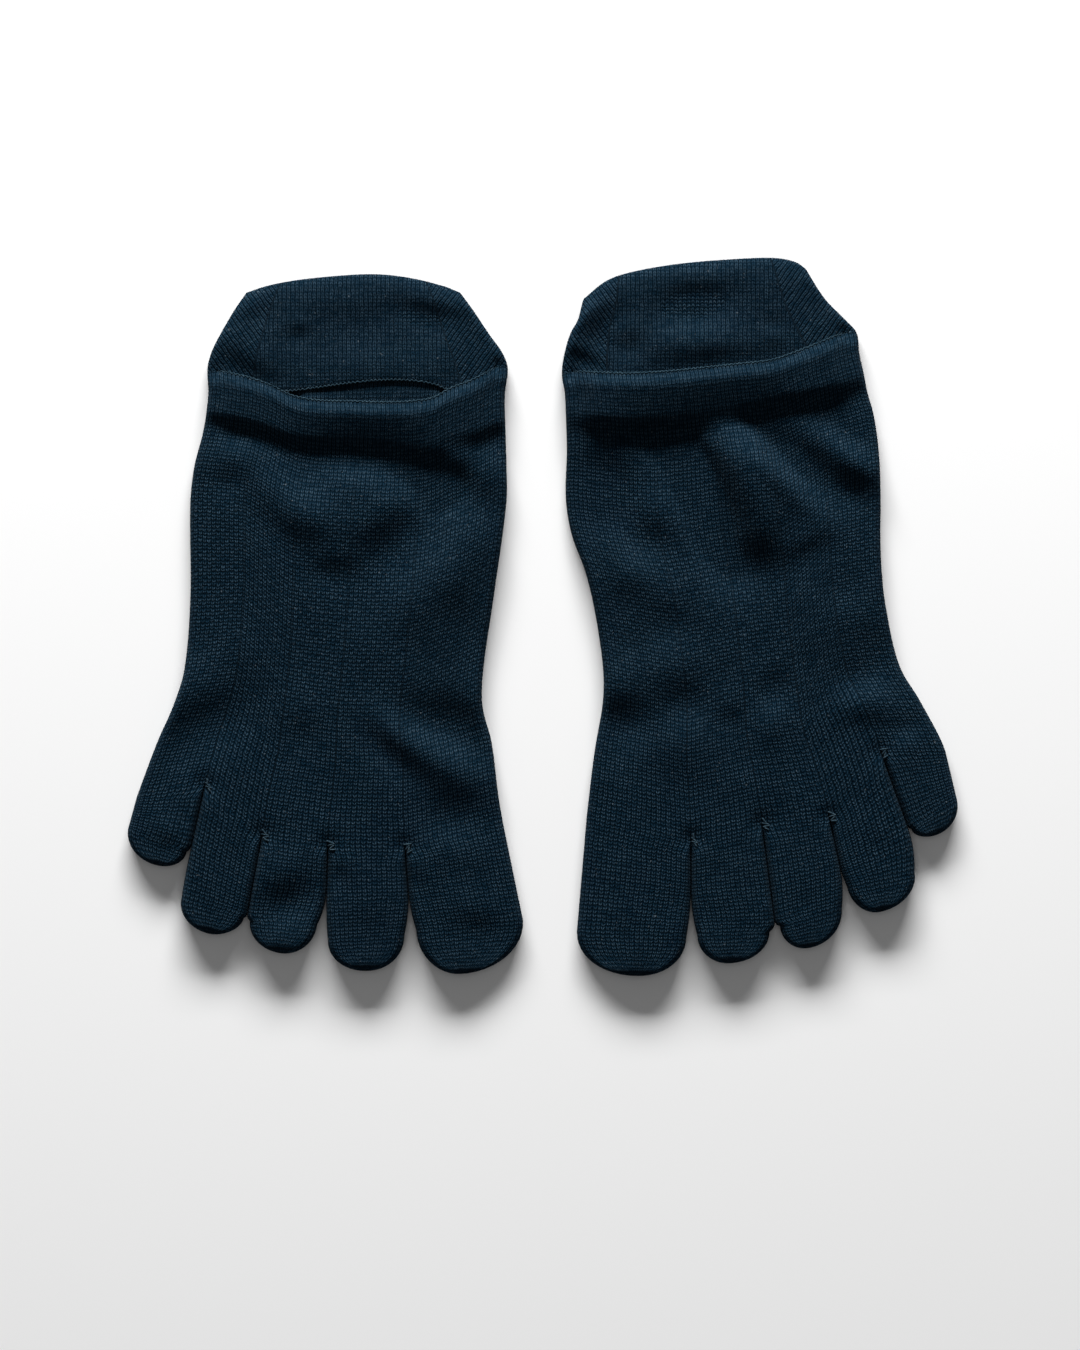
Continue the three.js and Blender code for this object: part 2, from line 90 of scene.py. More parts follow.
class MouthRow(NamedTuple):
    """The mouth, from its left corner to its right one.

    How far the two rims lie forward of the corners, the welt's depth, the height of its
    crest, how much it falls to its lower edge, and how far the cloth drops in front of it.
    """

    across: float
    front: float
    back: float
    welt: float
    crest: float
    fall: float
    drop: float


class Web(NamedTuple):
    """Where two toes part: the seam, and the end of the crease in which they touch."""

    x: float
    y: float
    gap_x: float
    gap_y: float


class ToeRow(NamedTuple):
    """A toe's count of wales, its tip, the shoulders where its round tip starts, and how square it is."""

    wales: int
    tip_x: float
    tip_y: float
    left_x: float
    left_y: float
    right_x: float
    right_y: float
    square_left: float
    square_right: float


class Fold(NamedTuple):
    """A ridge, hollow or slope: its middle, the way it runs in degrees, its half sizes and its rise.

    As a slope it is high on the left of the way it runs and low on the right.
    """

    x: float
    y: float
    turn: float
    length: float
    width: float
    rise: float


class Lines(NamedTuple):
    """Rows of a toe: points of its two sides, radii of its side folds, and how far each stands open."""

    left: np.ndarray
    right: np.ndarray
    radii: np.ndarray
    opened: np.ndarray


class Ripple(NamedTuple):
    """Soft unevenness of the cloth: its height, how many waves it has, and the longest of them.

    The shortest wave is given as a share of the longest.
    """

    height: float
    count: int
    longest: float
    shortest: float = 0.33


@dataclass(frozen=True)
class Cloth:
    """Sizes that both socks share, in millimetres. A pair gives where a change starts and ends."""

    wall: float = 1.4
    welt: float = 1.6
    rim: float = 1.2
    turn: float = 2.6
    toe_gap: float = 0.02
    flap: float = 3.3
    flap_rise: float = 1.05
    rim_drop: float = 2.6
    rim_roll: float = 3.4
    band_side: float = 5.2
    dip: float = 3.5
    lowest: float = 3.05
    side: float = 4.6
    instep: float = 5.9
    lip_reach: float = 4.2
    side_reach: float = 13.0
    web_reach: float = 3.2
    mouth_lift: float = 2.75
    web_tuck: float = 1.1
    fold_wales: float = 3.0
    wale: float = 1.29
    course: float = 1.11
    gore: float = 0.13
    gore_turn: float = 35.0
    grip: float = 0.35
    touching: float = 0.62
    touch_grows: float = 0.2
    gap_grows: tuple[float, float] = (-0.12, 0.3)
    narrowest: float = 0.4
    band_reach: tuple[float, float] = (-1.0, 8.0)
    band_curve: float = 1.4
    rim_curve: float = 1.5
    edge_start: float = -1.2
    edge_longest: float = 5.0
    edge_wall: tuple[float, float] = (-1.2, 3.5)
    lowest_bend: float = 4.0
    flap_lowest: float = -0.25
    flap_bend: float = 8.0
    flap_reach: float = 0.3
    lift_climb: tuple[float, float] = (-1.6, 1.5)
    lift_fall: tuple[float, float] = (0.5, 7.0)
    lift_open: tuple[float, float] = (0.8, 4.0)
    lift_under: float = 0.5
    welt_zone: tuple[float, float] = (-0.6, 0.9)
    foot_zone: tuple[float, float] = (10.0, 26.0)
    toe_zone: tuple[float, float] = (22.0, 44.0)
    zone_above: float = 0.05
    lip_points: int = 7
    lip_bulge: float = 0.8
    lip_course: float = 0.3
    instep_ripple: Ripple = Ripple(0.12, 14, 34)
    flap_ripple: Ripple = Ripple(0.1, 10, 30)


CLOTH = Cloth()


def follow(table: Sequence[NamedTuple], key: str, column: str, at: np.ndarray) -> np.ndarray:
    """A smooth curve through one column of a table.

    Between two rows it is the cubic whose slopes at the rows are those of the chords
    between their neighbours.

    Args:
        table: the rows, in any order.
        key: the column that is looked up.
        column: the column that is read.
        at: where to read it.

    Returns:
        The values at those places.
    """
    rows = sorted(table, key=lambda row: getattr(row, key))
    xs = np.array([getattr(row, key) for row in rows], float)
    ys = np.array([getattr(row, column) for row in rows], float)
    last = len(xs) - 1
    before = np.maximum(np.arange(last + 1) - 1, 0)
    after = np.minimum(np.arange(last + 1) + 1, last)
    slopes = (ys[after] - ys[before]) / (xs[after] - xs[before])
    place = np.clip(at, xs[0], xs[-1])
    index = np.clip(np.searchsorted(xs, place), 1, last)
    step = xs[index] - xs[index - 1]
    t = (place - xs[index - 1]) / step
    arrive = (3 - 2 * t) * t * t
    leaving = t * (1 - t) ** 2 * step * slopes[index - 1]
    arriving = t * t * (t - 1) * step * slopes[index]
    return ys[index - 1] * (1 - arrive) + ys[index] * arrive + leaving + arriving


def ease(value: np.ndarray, start: float, end: float) -> np.ndarray:
    """The way from 0 at start to 1 at end, level at both."""
    t = np.clip((value - start) / (end - start), 0, 1)
    return t * t * (3 - 2 * t)


def mix(start: np.ndarray, end: np.ndarray, share: np.ndarray) -> np.ndarray:
    """The value a share of the way from start to end."""
    return start + (end - start) * share


def waves(plan: np.ndarray, seed: int, ripple: Ripple) -> np.ndarray:
    """Soft uneven cloth: a sum of plane waves with seeded directions, lengths and phases.

    Args:
        plan: plan points, in millimetres.
        seed: picks the waves.
        ripple: the waves' size.

    Returns:
        Heights up to about the ripple's own.
    """
    draw = np.random.default_rng(seed)
    turns = draw.uniform(0, 2 * np.pi, ripple.count)
    numbers = 2 * np.pi / (ripple.longest * draw.uniform(ripple.shortest, 1, ripple.count))
    phases = draw.uniform(0, 2 * np.pi, ripple.count)
    along = plan[..., 0, None] * np.cos(turns) + plan[..., 1, None] * np.sin(turns)
    return ripple.height * (np.sin(along * numbers + phases).sum(-1) / math.sqrt(ripple.count))


def soft_floor(value: np.ndarray, lowest: float, bend: float) -> np.ndarray:
    """The value, bent smoothly so that it stays above the lowest. It is sharper with more bend."""
    return lowest + np.logaddexp(0, (value - lowest) * bend) / bend


@dataclass(frozen=True)
class Grid:
    """A grid of points, with the knit's wale and course number and its zones at each.

    The zones are the shares of the welt and of the mid foot, and a zero that fills the vector.
    """

    points: np.ndarray
    knit: np.ndarray
    zones: np.ndarray
    flip: bool


@dataclass(frozen=True)
class Columns:
    """The places of the body's columns: angle round the side folds, share of the mouth, side of
    the sock, place in the last row, and wale number."""

    turn: np.ndarray
    share: np.ndarray
    side: np.ndarray
    root: np.ndarray
    wale: np.ndarray


@dataclass(frozen=True)
class SockForm:
    """One sock's own sizes."""

    name: str
    centre_x: float
    heel_left: float
    heel_right: float
    mouth_left: float
    mouth_right: float
    root_left: float
    root_right: float
    edges: tuple[EdgeRow, ...]
    heel: tuple[HeelRow, ...]
    mouth: tuple[MouthRow, ...]
    webs: tuple[Web, ...]
    toes: tuple[ToeRow, ...]
    folds: tuple[Fold, ...]
    slopes: tuple[Fold, ...]
    heel_slopes: tuple[Fold, ...]
    dip_reach: float
    seed: int


LEFT = SockForm(
    name="left_sock",
    centre_x=-65.2,
    heel_left=97.3,
    heel_right=97.3,
    mouth_left=73.6,
    mouth_right=75.2,
    root_left=-53.9,
    root_right=-62.2,
    edges=(
        EdgeRow(97.3, -23.7, 40.5),
        EdgeRow(92.0, -27.3, 44.4),
        EdgeRow(84.8, -31.5, 49.2),
        EdgeRow(79.3, -34.2, 53.1),
        EdgeRow(74.5, -35.4, 54.8),
        EdgeRow(66.8, -35.1, 53.9),
        EdgeRow(55.9, -36.6, 54.1),
        EdgeRow(45.1, -39.3, 54.4),
        EdgeRow(34.4, -40.5, 54.4),
        EdgeRow(5.5, -40.5, 50.5),
        EdgeRow(-16.1, -42.3, 47.4),
        EdgeRow(-26.8, -45.6, 47.2),
        EdgeRow(-37.6, -50.4, 49.9),
        EdgeRow(-53.9, -56.5, 52.0),
        EdgeRow(-62.2, -59.4, 53.4),
    ),
    heel=(
        HeelRow(0, 0),
        HeelRow(0.1, 2.1),
        HeelRow(0.25, 3.9),
        HeelRow(0.5, 5.4),
        HeelRow(0.65, 5.4),
        HeelRow(0.8, 4.0),
        HeelRow(0.93, 1.8),
        HeelRow(1, 0),
    ),
    mouth=(
        MouthRow(0, 0, 0, 13, 6.4, 0.5, 3),
        MouthRow(0.042, 0.9, 0.4, 13, 6.4, 0.5, 3),
        MouthRow(0.12, 2.6, 4.6, 13, 6.5, 0.6, 3),
        MouthRow(0.2, 5.1, 5.9, 12.8, 6.8, 0.9, 3),
        MouthRow(0.27, 8.2, 5.8, 12.2, 7.2, 1.5, 3),
        MouthRow(0.36, 9.8, 5.0, 11.8, 7.9, 2.4, 3),
        MouthRow(0.48, 10.3, 3.8, 11.9, 8.3, 3.3, 3),
        MouthRow(0.6, 10.8, 3.1, 12.8, 8.5, 3.6, 3.5),
        MouthRow(0.7, 10.6, 3.5, 13.6, 8.5, 2.9, 7),
        MouthRow(0.77, 9.6, 4.6, 14.4, 8.2, 1.9, 11),
        MouthRow(0.83, 6.9, 6.5, 15, 7.8, 1.2, 11),
        MouthRow(0.9, 4.7, 6.3, 16, 7.5, 1, 8),
        MouthRow(0.965, 1.9, 1.3, 17, 7, 0.8, 4),
        MouthRow(1, 0, 0, 17.5, 7, 0.8, 4),
    ),
    webs=(
        Web(-36.0, -50.5, -40.2, -69.0),
        Web(-18.9, -65.5, -23.4, -89.5),
        Web(0.9, -68.5, 0.4, -82.0),
        Web(24.0, -69.1, 24.9, -82.0),
    ),
    toes=(
        ToeRow(10, -49.5, -74.8, -59.2, -63.8, -41.6, -70.6, 2.0, 2.0),
        ToeRow(11, -34.4, -95.2, -43.2, -85.0, -24.4, -90.4, 2.0, 1.8),
        ToeRow(12, -13.2, -101.0, -22.6, -91.3, -2.4, -92.5, 2.0, 2.0),
        ToeRow(14, 12.0, -106.3, 0.8, -97.0, 23.8, -95.5, 2.1, 2.1),
        ToeRow(19, 40.5, -107.2, 27.3, -94.0, 59.4, -91.3, 2.0, 2.0),
    ),
    folds=(
        Fold(2, 29, 0, 17, 10, 1.3),
        Fold(29, 10, 10, 12, 9, 0.5),
    ),
    slopes=(
        Fold(-14, 30, -42, 17, 5, 0.8),
        Fold(18, 27, 40, 14, 5, 0.65),
        Fold(2, 15, 0, 8, 3.5, 0.4),
        Fold(-4, 35, -10, 9, 5, -0.8),
        Fold(9, 43.5, 0, 10, 4, -0.6),
        Fold(36, 44, -27, 15, 6, 2.1),
        Fold(-28, 52, 0, 5, 3, -0.4),
        Fold(-27, 44, 10, 9, 4, 0.6),
        Fold(32, 18, 50, 22, 8, -1.9),
        Fold(-38, -28, 47, 13, 7.5, 2.1),
        Fold(41, -27, -38, 11, 5, 1.0),
        Fold(34, -38, -31, 15, 4.5, -1.5),
        Fold(39, -53.5, -8, 10, 6.5, 0.7),
        Fold(21, -39, -45, 11, 3.5, 0.75),
        Fold(-12, -81, 27, 11, 5.5, 0.85),
        Fold(-11, -92, 20, 8, 5, -0.6),
        Fold(5, -76, -55, 6, 3, 0.4),
        Fold(27, -77, -55, 6, 3, 0.4),
        Fold(12, -90, 0, 8, 6, 0.25),
        Fold(38, -66, 0, 10, 5, -0.55),
        Fold(46, -91, -10, 8, 4.5, 0.6),
        Fold(-47, -67, -20, 5, 3, 0.4),
        Fold(-7, -32, 0, 6, 5, 0.4),
    ),
    heel_slopes=(
        Fold(31, 94, -18, 11, 4, 0.75),
        Fold(-24, 76, -30, 9, 4, 0.8),
        Fold(-8, 86, 0, 4, 2.5, 0.45),
        Fold(-20, 93, 40, 5, 3, 0.4),
        Fold(15, 80, 0, 20, 7, -0.8),
        Fold(-28, 87, 60, 6, 3, -0.35),
    ),
    dip_reach=14.0,
    seed=11,
)

RIGHT = SockForm(
    name="right_sock",
    centre_x=65.2,
    heel_left=95.5,
    heel_right=104.5,
    mouth_left=73.0,
    mouth_right=85.6,
    root_left=-59.5,
    root_right=-40.6,
    edges=(
        EdgeRow(104.5, -48.0, 13.8),
        EdgeRow(95.5, -52.8, 19.5),
        EdgeRow(89.0, -54.6, 25.8),
        EdgeRow(85.3, -56.7, 29.1),
        EdgeRow(79.5, -58.5, 29.8),
        EdgeRow(73.0, -59.4, 31.2),
        EdgeRow(66.8, -58.5, 32.5),
        EdgeRow(60.8, -58.2, 34.2),
        EdgeRow(49.9, -57.9, 35.7),
        EdgeRow(35.5, -58.2, 36.3),
        EdgeRow(24.5, -56.4, 36.2),
        EdgeRow(13.9, -52.5, 36.6),
        EdgeRow(3.1, -49.8, 37.8),
        EdgeRow(-14.8, -47.1, 42.0),
        EdgeRow(-25.6, -47.1, 48.3),
        EdgeRow(-40.6, -49.6, 55.8),
        EdgeRow(-59.5, -51.9, 59.1),
    ),
    heel=(
        HeelRow(0, 0),
        HeelRow(0.1, 4.4),
        HeelRow(0.22, 6.1),
        HeelRow(0.45, 6.6),
        HeelRow(0.75, 5.4),
        HeelRow(0.88, 4.2),
        HeelRow(0.96, 2.2),
        HeelRow(1, 0),
    ),
    mouth=(
        MouthRow(0, 0, 0, 13.2, 8.4, 0.5, 5),
        MouthRow(0.042, 0.9, 0.4, 13.2, 9, 0.5, 6),
        MouthRow(0.11, 2.1, 3.8, 13.5, 9.7, 1.0, 8),
        MouthRow(0.22, 3.6, 6.5, 13.8, 9.8, 2.3, 9),
        MouthRow(0.354, 4.6, 8.0, 14.2, 9.8, 3.2, 9),
        MouthRow(0.47, 5.0, 8.4, 14.2, 9.8, 3.6, 10),
        MouthRow(0.59, 5.3, 8.6, 13.2, 9.5, 3.3, 5),
        MouthRow(0.72, 5.6, 8.4, 11.4, 9.1, 2.4, 8),
        MouthRow(0.8, 4.4, 7.2, 12, 8.6, 1.3, 10),
        MouthRow(0.88, 2.7, 5.2, 13.2, 8.2, 1.1, 5),
        MouthRow(0.96, 0.9, 0.4, 14, 7.8, 0.9, 6),
        MouthRow(1, 0, 0, 14, 7.6, 0.9, 6),
    ),
    webs=(
        Web(-20.7, -67.0, -20.7, -82.0),
        Web(0.6, -62.2, 4.5, -91.6),
        Web(20.7, -59.8, 24.0, -74.8),
        Web(36.3, -40.6, 44.4, -63.1),
    ),
    toes=(
        ToeRow(19, -36.6, -107.8, -54.9, -94.6, -22.0, -95.8, 2.1, 2.1),
        ToeRow(14, -9.6, -104.0, -18.8, -95.5, 2.9, -94.6, 2.0, 2.0),
        ToeRow(12, 13.8, -99.5, 6.0, -92.8, 24.6, -87.5, 2.0, 2.0),
        ToeRow(11, 36.0, -88.6, 26.1, -80.8, 46.4, -76.6, 2.0, 2.0),
        ToeRow(10, 52.0, -65.8, 45.4, -63.6, 59.2, -55.0, 2.0, 2.0),
    ),
    folds=(
        Fold(3, 44, -46, 17, 4.5, 1.3),
        Fold(-17, 38, -60, 20, 6, -2.0),
        Fold(-34, 53.5, 0, 21, 6, -1.5),
        Fold(-47, 46, 0, 9, 8, -1.0),
        Fold(-36, 17, 0, 12, 12, 0.4),
    ),
    slopes=(
        Fold(6, 45, -44, 17, 3.2, -1.1),
        Fold(-12, 43, -50, 10, 7.5, 4.2),
        Fold(-8, 32, -50, 11, 8, 4.8),
        Fold(-5, 20, -30, 9, 6.5, 2.6),
        Fold(17, 48, -36, 16, 5, 1.4),
        Fold(26, 51, -38, 9, 3, -0.6),
        Fold(29, 41, -25, 8, 4.5, 1.1),
        Fold(-24, 40, -62, 13, 4, -0.6),
        Fold(-18, 50, -20, 7, 5, 0.8),
        Fold(-46, 44, -8, 12, 10, 2.6),
        Fold(-32, 27, -38, 13, 6, 1.1),
        Fold(-36, 17, -30, 8, 5, -1.0),
        Fold(14, 21, 25, 7, 3.5, 0.5),
        Fold(-41, -27, 8, 9, 6.5, 1.4),
        Fold(-26, -9, 0, 8, 6, -1.0),
        Fold(-22, -32, 0, 8, 6.5, -1.1),
        Fold(4, -28, -10, 5, 6, -1.1),
        Fold(31, -22, 10, 8, 4.5, -0.95),
        Fold(32, -31, 5, 11, 4, 0.25),
        Fold(44, -36, 20, 6, 3, -0.4),
        Fold(-9, -29, 0, 4, 4, 0.35),
        Fold(32, -5, 20, 9, 7, 0.8),
        Fold(5, -52, 0, 5, 6, 0.2),
        Fold(27, -52, 0, 5, 5, 0.2),
    ),
    heel_slopes=(
        Fold(-50, 87, 62, 9, 5, 1.7),
        Fold(-40, 83, 20, 6, 3.5, 0.7),
        Fold(-52, 78, -20, 8, 2.5, 0.6),
        Fold(-20, 87, 4, 14, 5, -1.3),
        Fold(-8, 79, 5, 18, 3, 0.3),
        Fold(-19, 100, 6, 11, 4, 0.8),
        Fold(4, 86, 0, 3, 2, -0.3),
    ),
    dip_reach=30.0,
    seed=23,
)


class Toe:
    """The plan of one toe, for the outside of the cloth or, with an inset, for its inside."""

    bend_steps = 40  # points along each half of a side beside a web
    bend_pull = 0.5  # how far the crease's direction carries on, as a share of the bend

    def __init__(self, form: SockForm, index: int, inset: float) -> None:
        """Works out where the toe's sides start, its shoulders and its tip."""
        self.form = form
        self.row = form.toes[index]
        self.inset = inset
        self.webs = [form.webs[index - 1] if index else None,
                     form.webs[index] if index < len(form.webs) else None]
        self.roots = [self._root(0), self._root(1)]
        forward = np.array([self.row.tip_x, self.row.tip_y]) - sum(self.roots) / 2
        self.forward = forward / np.linalg.norm(forward)
        self.across = np.array([-self.forward[1], self.forward[0]])
        self.tip = np.array([self.row.tip_x, self.row.tip_y]) - self.forward * inset
        self.shoulders = [
            np.array([self.row.left_x, self.row.left_y]) + self.across * inset,
            np.array([self.row.right_x, self.row.right_y]) - self.across * inset,
        ]

    def _root(self, which: int) -> np.ndarray:
        """The start of one side: beside its web, or on the sock's outline."""
        sign = 2 * which - 1
        web = self.webs[which]
        if web:
            away = CLOTH.toe_gap / 2 + self.inset
            return np.array([web.x - sign * away, web.y + self.inset])
        end = ("left", "right")[which]
        y = getattr(self.form, f"root_{end}")
        return np.array([float(follow(self.form.edges, "y", end, np.array(y))) - sign * self.inset, y])

    def _side(self, which: int, shares: np.ndarray) -> np.ndarray:
        """Points along one side, spaced by its length.

        Beside a web the side runs down the crease to the gap, then bends to the shoulder
        on a curve with one control point.

        Args:
            which: 0 for the left side, 1 for the right.
            shares: how far along each point lies, from 0 to 1.

        Returns:
            One plan point a row.
        """
        start, end, web = self.roots[which], self.shoulders[which], self.webs[which]
        if web is None:
            return start + (end - start) * shares[:, None]
        inward = 1 - 2 * which
        gap = np.array([web.gap_x + inward * (CLOTH.toe_gap / 2 + self.inset), web.gap_y])
        crease = (gap - start) / np.linalg.norm(gap - start)
        control = gap + crease * np.linalg.norm(end - gap) * self.bend_pull
        t = np.linspace(0, 1, self.bend_steps)[:, None]
        line = start + (gap - start) * t
        bend = gap * (1 - t) ** 2 + 2 * control * t * (1 - t) + end * t * t
        path = np.concatenate([line, bend[1:]])
        run = np.concatenate([[0], np.cumsum(np.linalg.norm(np.diff(path, axis=0), axis=1))])
        at = shares * run[-1]
        return np.stack([np.interp(at, run, path[:, 0]), np.interp(at, run, path[:, 1])], 1)

    def _widen(self, which: int, shares: np.ndarray) -> np.ndarray:
        """The share of the full fold radius: small where two toes touch, full past their gap."""
        web = self.webs[which]
        if web is None:
            return np.ones(len(shares))
        touching = math.hypot(web.gap_x - web.x, web.gap_y - web.y)
        opening = touching / (touching + np.linalg.norm(self.shoulders[which] - [web.gap_x, web.gap_y]))
        start, end = CLOTH.gap_grows
        past_gap = ease(shares, opening + start, opening + end)
        beside_toe = ease(shares, 0, CLOTH.touch_grows)
        return CLOTH.touching * beside_toe + (1 - CLOTH.touching) * past_gap

    def _tip_side(self, which: int, turns: np.ndarray) -> np.ndarray:
        """A quarter of a rounded oval from a shoulder to the tip: cosine and sine to a power."""
        shoulder = self.shoulders[which]
        power = 2 / (self.row.square_left, self.row.square_right)[which]
        centre = shoulder + self.across * np.dot(self.tip - shoulder, self.across)
        sideways = np.where(turns >= 90, 0, np.cos(np.radians(turns)).clip(0)) ** power
        forward = np.sin(np.radians(turns)) ** power
        return centre + (shoulder - centre) * sideways[:, None] + (self.tip - centre) * forward[:, None]

    def rows(self, shaft: np.ndarray, turns: np.ndarray) -> Lines:
        """The toe's rows, from its root to its tip.

        Args:
            shaft: shares of the sides, from 0 at the root to 1 at the shoulders.
            turns: angles round the tip, up to 90 degrees.

        Returns:
            The rows. How far they stand open falls to 0 at the tip.
        """
        left = np.concatenate([self._side(0, shaft), self._tip_side(0, turns)])
        right = np.concatenate([self._side(1, shaft), self._tip_side(1, turns)])
        shares = np.concatenate([shaft, np.ones(len(turns))])
        widen = np.stack([self._widen(which, shares) for which in (0, 1)], 1)
        radius = CLOTH.turn - self.inset
        to_tip = np.linalg.norm((left + right) / 2 - self.tip, axis=1)
        reach = np.minimum(to_tip / radius, 1)
        opened = np.where(shares < 1, 1, np.sqrt(1 - (1 - reach) ** 2))
        opened[: len(shaft)] = 1
        width = np.linalg.norm(right - left, axis=1)
        radii = np.minimum(widen * radius, width[:, None] * CLOTH.narrowest)
        return Lines(left, right, radii, opened)

    def plan(self, turns: np.ndarray, shares: np.ndarray, sides: np.ndarray, rows: Lines) -> np.ndarray:
        """Plan points of the toe's columns in every row.

        Args:
            turns: angle of each column round a side fold, 90 between the folds.
            shares: place of each column between the folds.
            sides: -1 in the left fold, 1 in the right one, 0 between.
            rows: what rows() gave.

        Returns:
            Points by row, column and axis.
        """
        left, right, radii, _ = rows
        width = np.linalg.norm(right - left, axis=1)
        safe = np.where(width > 0, width, 1)[:, None]
        direction = np.where(width[:, None] > 0, (right - left) / safe, self.across)
        curl = 1 - np.cos(np.radians(turns))
        along = radii[:, :1] + (width[:, None] - radii.sum(1, keepdims=True)) * shares
        along = np.where(sides < 0, radii[:, :1] * curl, along)
        along = np.where(sides > 0, width[:, None] - radii[:, 1:] * curl, along)
        return left[:, None] + direction[:, None] * along[..., None]


@dataclass
class Sock:
    """One sock's cloth, with the heights and rims that its small pieces follow."""

    form: SockForm
    columns_per_wale: int = 2
    fold_steps: int = 6
    heel_rows: int = 26
    foot_rows: int = 118
    shaft_rows: int = 30
    tip_rows: int = 12
    inner_rows: int = 2
    cut_points: int = 101

    def outline(self, end: str, place: np.ndarray) -> np.ndarray:
        """The outline at one side: 0 at the heel corner, 1 at the mouth corner, 2 at the toes."""
        form = self.form
        stops = [getattr(form, f"{name}_{end}") for name in ("heel", "mouth", "root")]
        y = np.interp(place, [0, 1, 2], stops)
        return np.stack([follow(form.edges, "y", end, y), y], -1)

    def toe_columns(self, wales: int) -> tuple[np.ndarray, np.ndarray, np.ndarray, np.ndarray]:
        """Turn, share, side and wale number of a toe's columns, its folds included."""
        steps = np.linspace(0, 90, self.fold_steps + 1)[:-1]
        inner = np.linspace(0, 1, wales * self.columns_per_wale + 1)
        turn = np.concatenate([steps, np.full(len(inner), 90.0), steps[::-1]])
        share = np.concatenate([np.zeros(len(steps)), inner, np.ones(len(steps))])
        side = np.concatenate([-np.ones(len(steps)), np.zeros(len(inner)), np.ones(len(steps))])
        curled = CLOTH.fold_wales * (1 - turn / 90)
        return turn, share, side, share * wales + side * curled

    def starts(self) -> list[float]:
        """The wale number at which each toe starts. A web takes one wale."""
        wales = [toe.wales + 1 for toe in self.form.toes]
        return [float(sum(wales[:index])) for index in range(len(wales))]

    def columns(self, inset: float) -> Columns:
        """The body's columns: the outer folds, then the toes side by side."""
        parts = []
        shaft, turns = np.zeros(1), np.zeros(0)
        last = len(self.form.toes) - 1
        for index, (toe, start) in enumerate(zip(self.form.toes, self.starts())):
            turn, share, side, wale = self.toe_columns(toe.wales)
            plan = Toe(self.form, index, inset)
            root = plan.plan(turn, share, side, plan.rows(shaft, turns))[0]
            outer = (side == 0) | ((side < 0) & (index == 0)) | ((side > 0) & (index == last))
            parts.append([turn[outer], side[outer], root[outer], wale[outer] + start])
        turn, side, root, wale = (np.concatenate([part[item] for part in parts]) for item in range(4))
        total = self.starts()[-1] + self.form.toes[-1].wales
        share = np.where(side == 0, wale / total, (side + 1) / 2)
        return Columns(turn, share, side, root, wale)

    def fold_place(self, turn: np.ndarray, inset: float) -> np.ndarray:
        """How far in from the outline a point at that angle of a fold lies."""
        return inset + (CLOTH.turn - inset) * (1 - np.cos(np.radians(turn)))

    def heel_length(self) -> float:
        """Length of the heel along its left side."""
        return self.form.heel_left - self.form.mouth_left

    def body_plan(self, columns: Columns, place: np.ndarray, sheet: Sheet, inset: float) -> np.ndarray:
        """Plan points of a body sheet.

        Each row runs straight from side to side, plus the heel's rise at the heel, less the
        rim's forward shift at the mouth, and plus the sag of the root line at the toes. The
        columns move from an even spread at the mouth to the toes' own places at the root.

        Args:
            columns: the body's columns.
            place: a row's place, from 0 at the heel to 2 at the root line.
            sheet: which layer.
            inset: 0 outside, the wall inside.

        Returns:
            Points by row, column and axis.
        """
        form = self.form
        left, right = (self.outline(end, place)[:, None] for end in ("left", "right"))
        fold = self.fold_place(columns.turn, inset)
        x = mix(left[..., 0] + CLOTH.turn, right[..., 0] - CLOTH.turn, columns.share)
        x = np.where(columns.side < 0, left[..., 0] + fold, x)
        x = np.where(columns.side > 0, right[..., 0] - fold, x)
        done = np.clip(place - 1, 0, 1)[:, None]
        ends = [self.outline(end, np.array(2.0)) for end in ("left", "right")]
        root_across = (columns.root[:, 0] - ends[0][0]) / (ends[1][0] - ends[0][0])
        across = mix((x - left[..., 0]) / (right[..., 0] - left[..., 0]), root_across, done)
        sag = columns.root[:, 1] - mix(ends[0][1], ends[1][1], root_across)
        x = mix(left[..., 0], right[..., 0], across)
        y = mix(left[..., 1], right[..., 1], across) + sag * done
        y = y + follow(form.heel, "across", "rise", across) * np.clip(1 - place, 0, 1)[:, None]
        if sheet is not Sheet.SOLE:
            shift = follow(form.mouth, "across", sheet.value, columns.share)
            folded = CLOTH.turn / self.heel_length()
            back = np.maximum((place[:, None] - folded) / (1 - folded), 0)
            y = y - shift * (back if sheet is Sheet.FLAP else 1 - done)
        return np.stack([x, y], -1)

    def corners(self) -> list[np.ndarray]:
        """Plan points of the mouth's two corners."""
        left, right = (self.outline(end, np.array(1.0)) for end in ("left", "right"))
        fold = CLOTH.turn / (right[0] - left[0])
        return [mix(left, right, fold), mix(right, left, fold)]

    def past_rim(self, plan: np.ndarray, share: np.ndarray) -> np.ndarray:
        """How far forward of the front rim each point lies."""
        first, last = self.corners()
        line = mix(first[1], last[1], share)
        return line - follow(self.form.mouth, "across", "front", share) - plan[..., 1]

    def corner_share(self, plan: np.ndarray) -> np.ndarray:
        """From 0 at a mouth corner to 1 away from both."""
        distance = np.min([np.linalg.norm(plan - corner, axis=-1) for corner in self.corners()], axis=0)
        return ease(distance, 0, CLOTH.lip_reach)

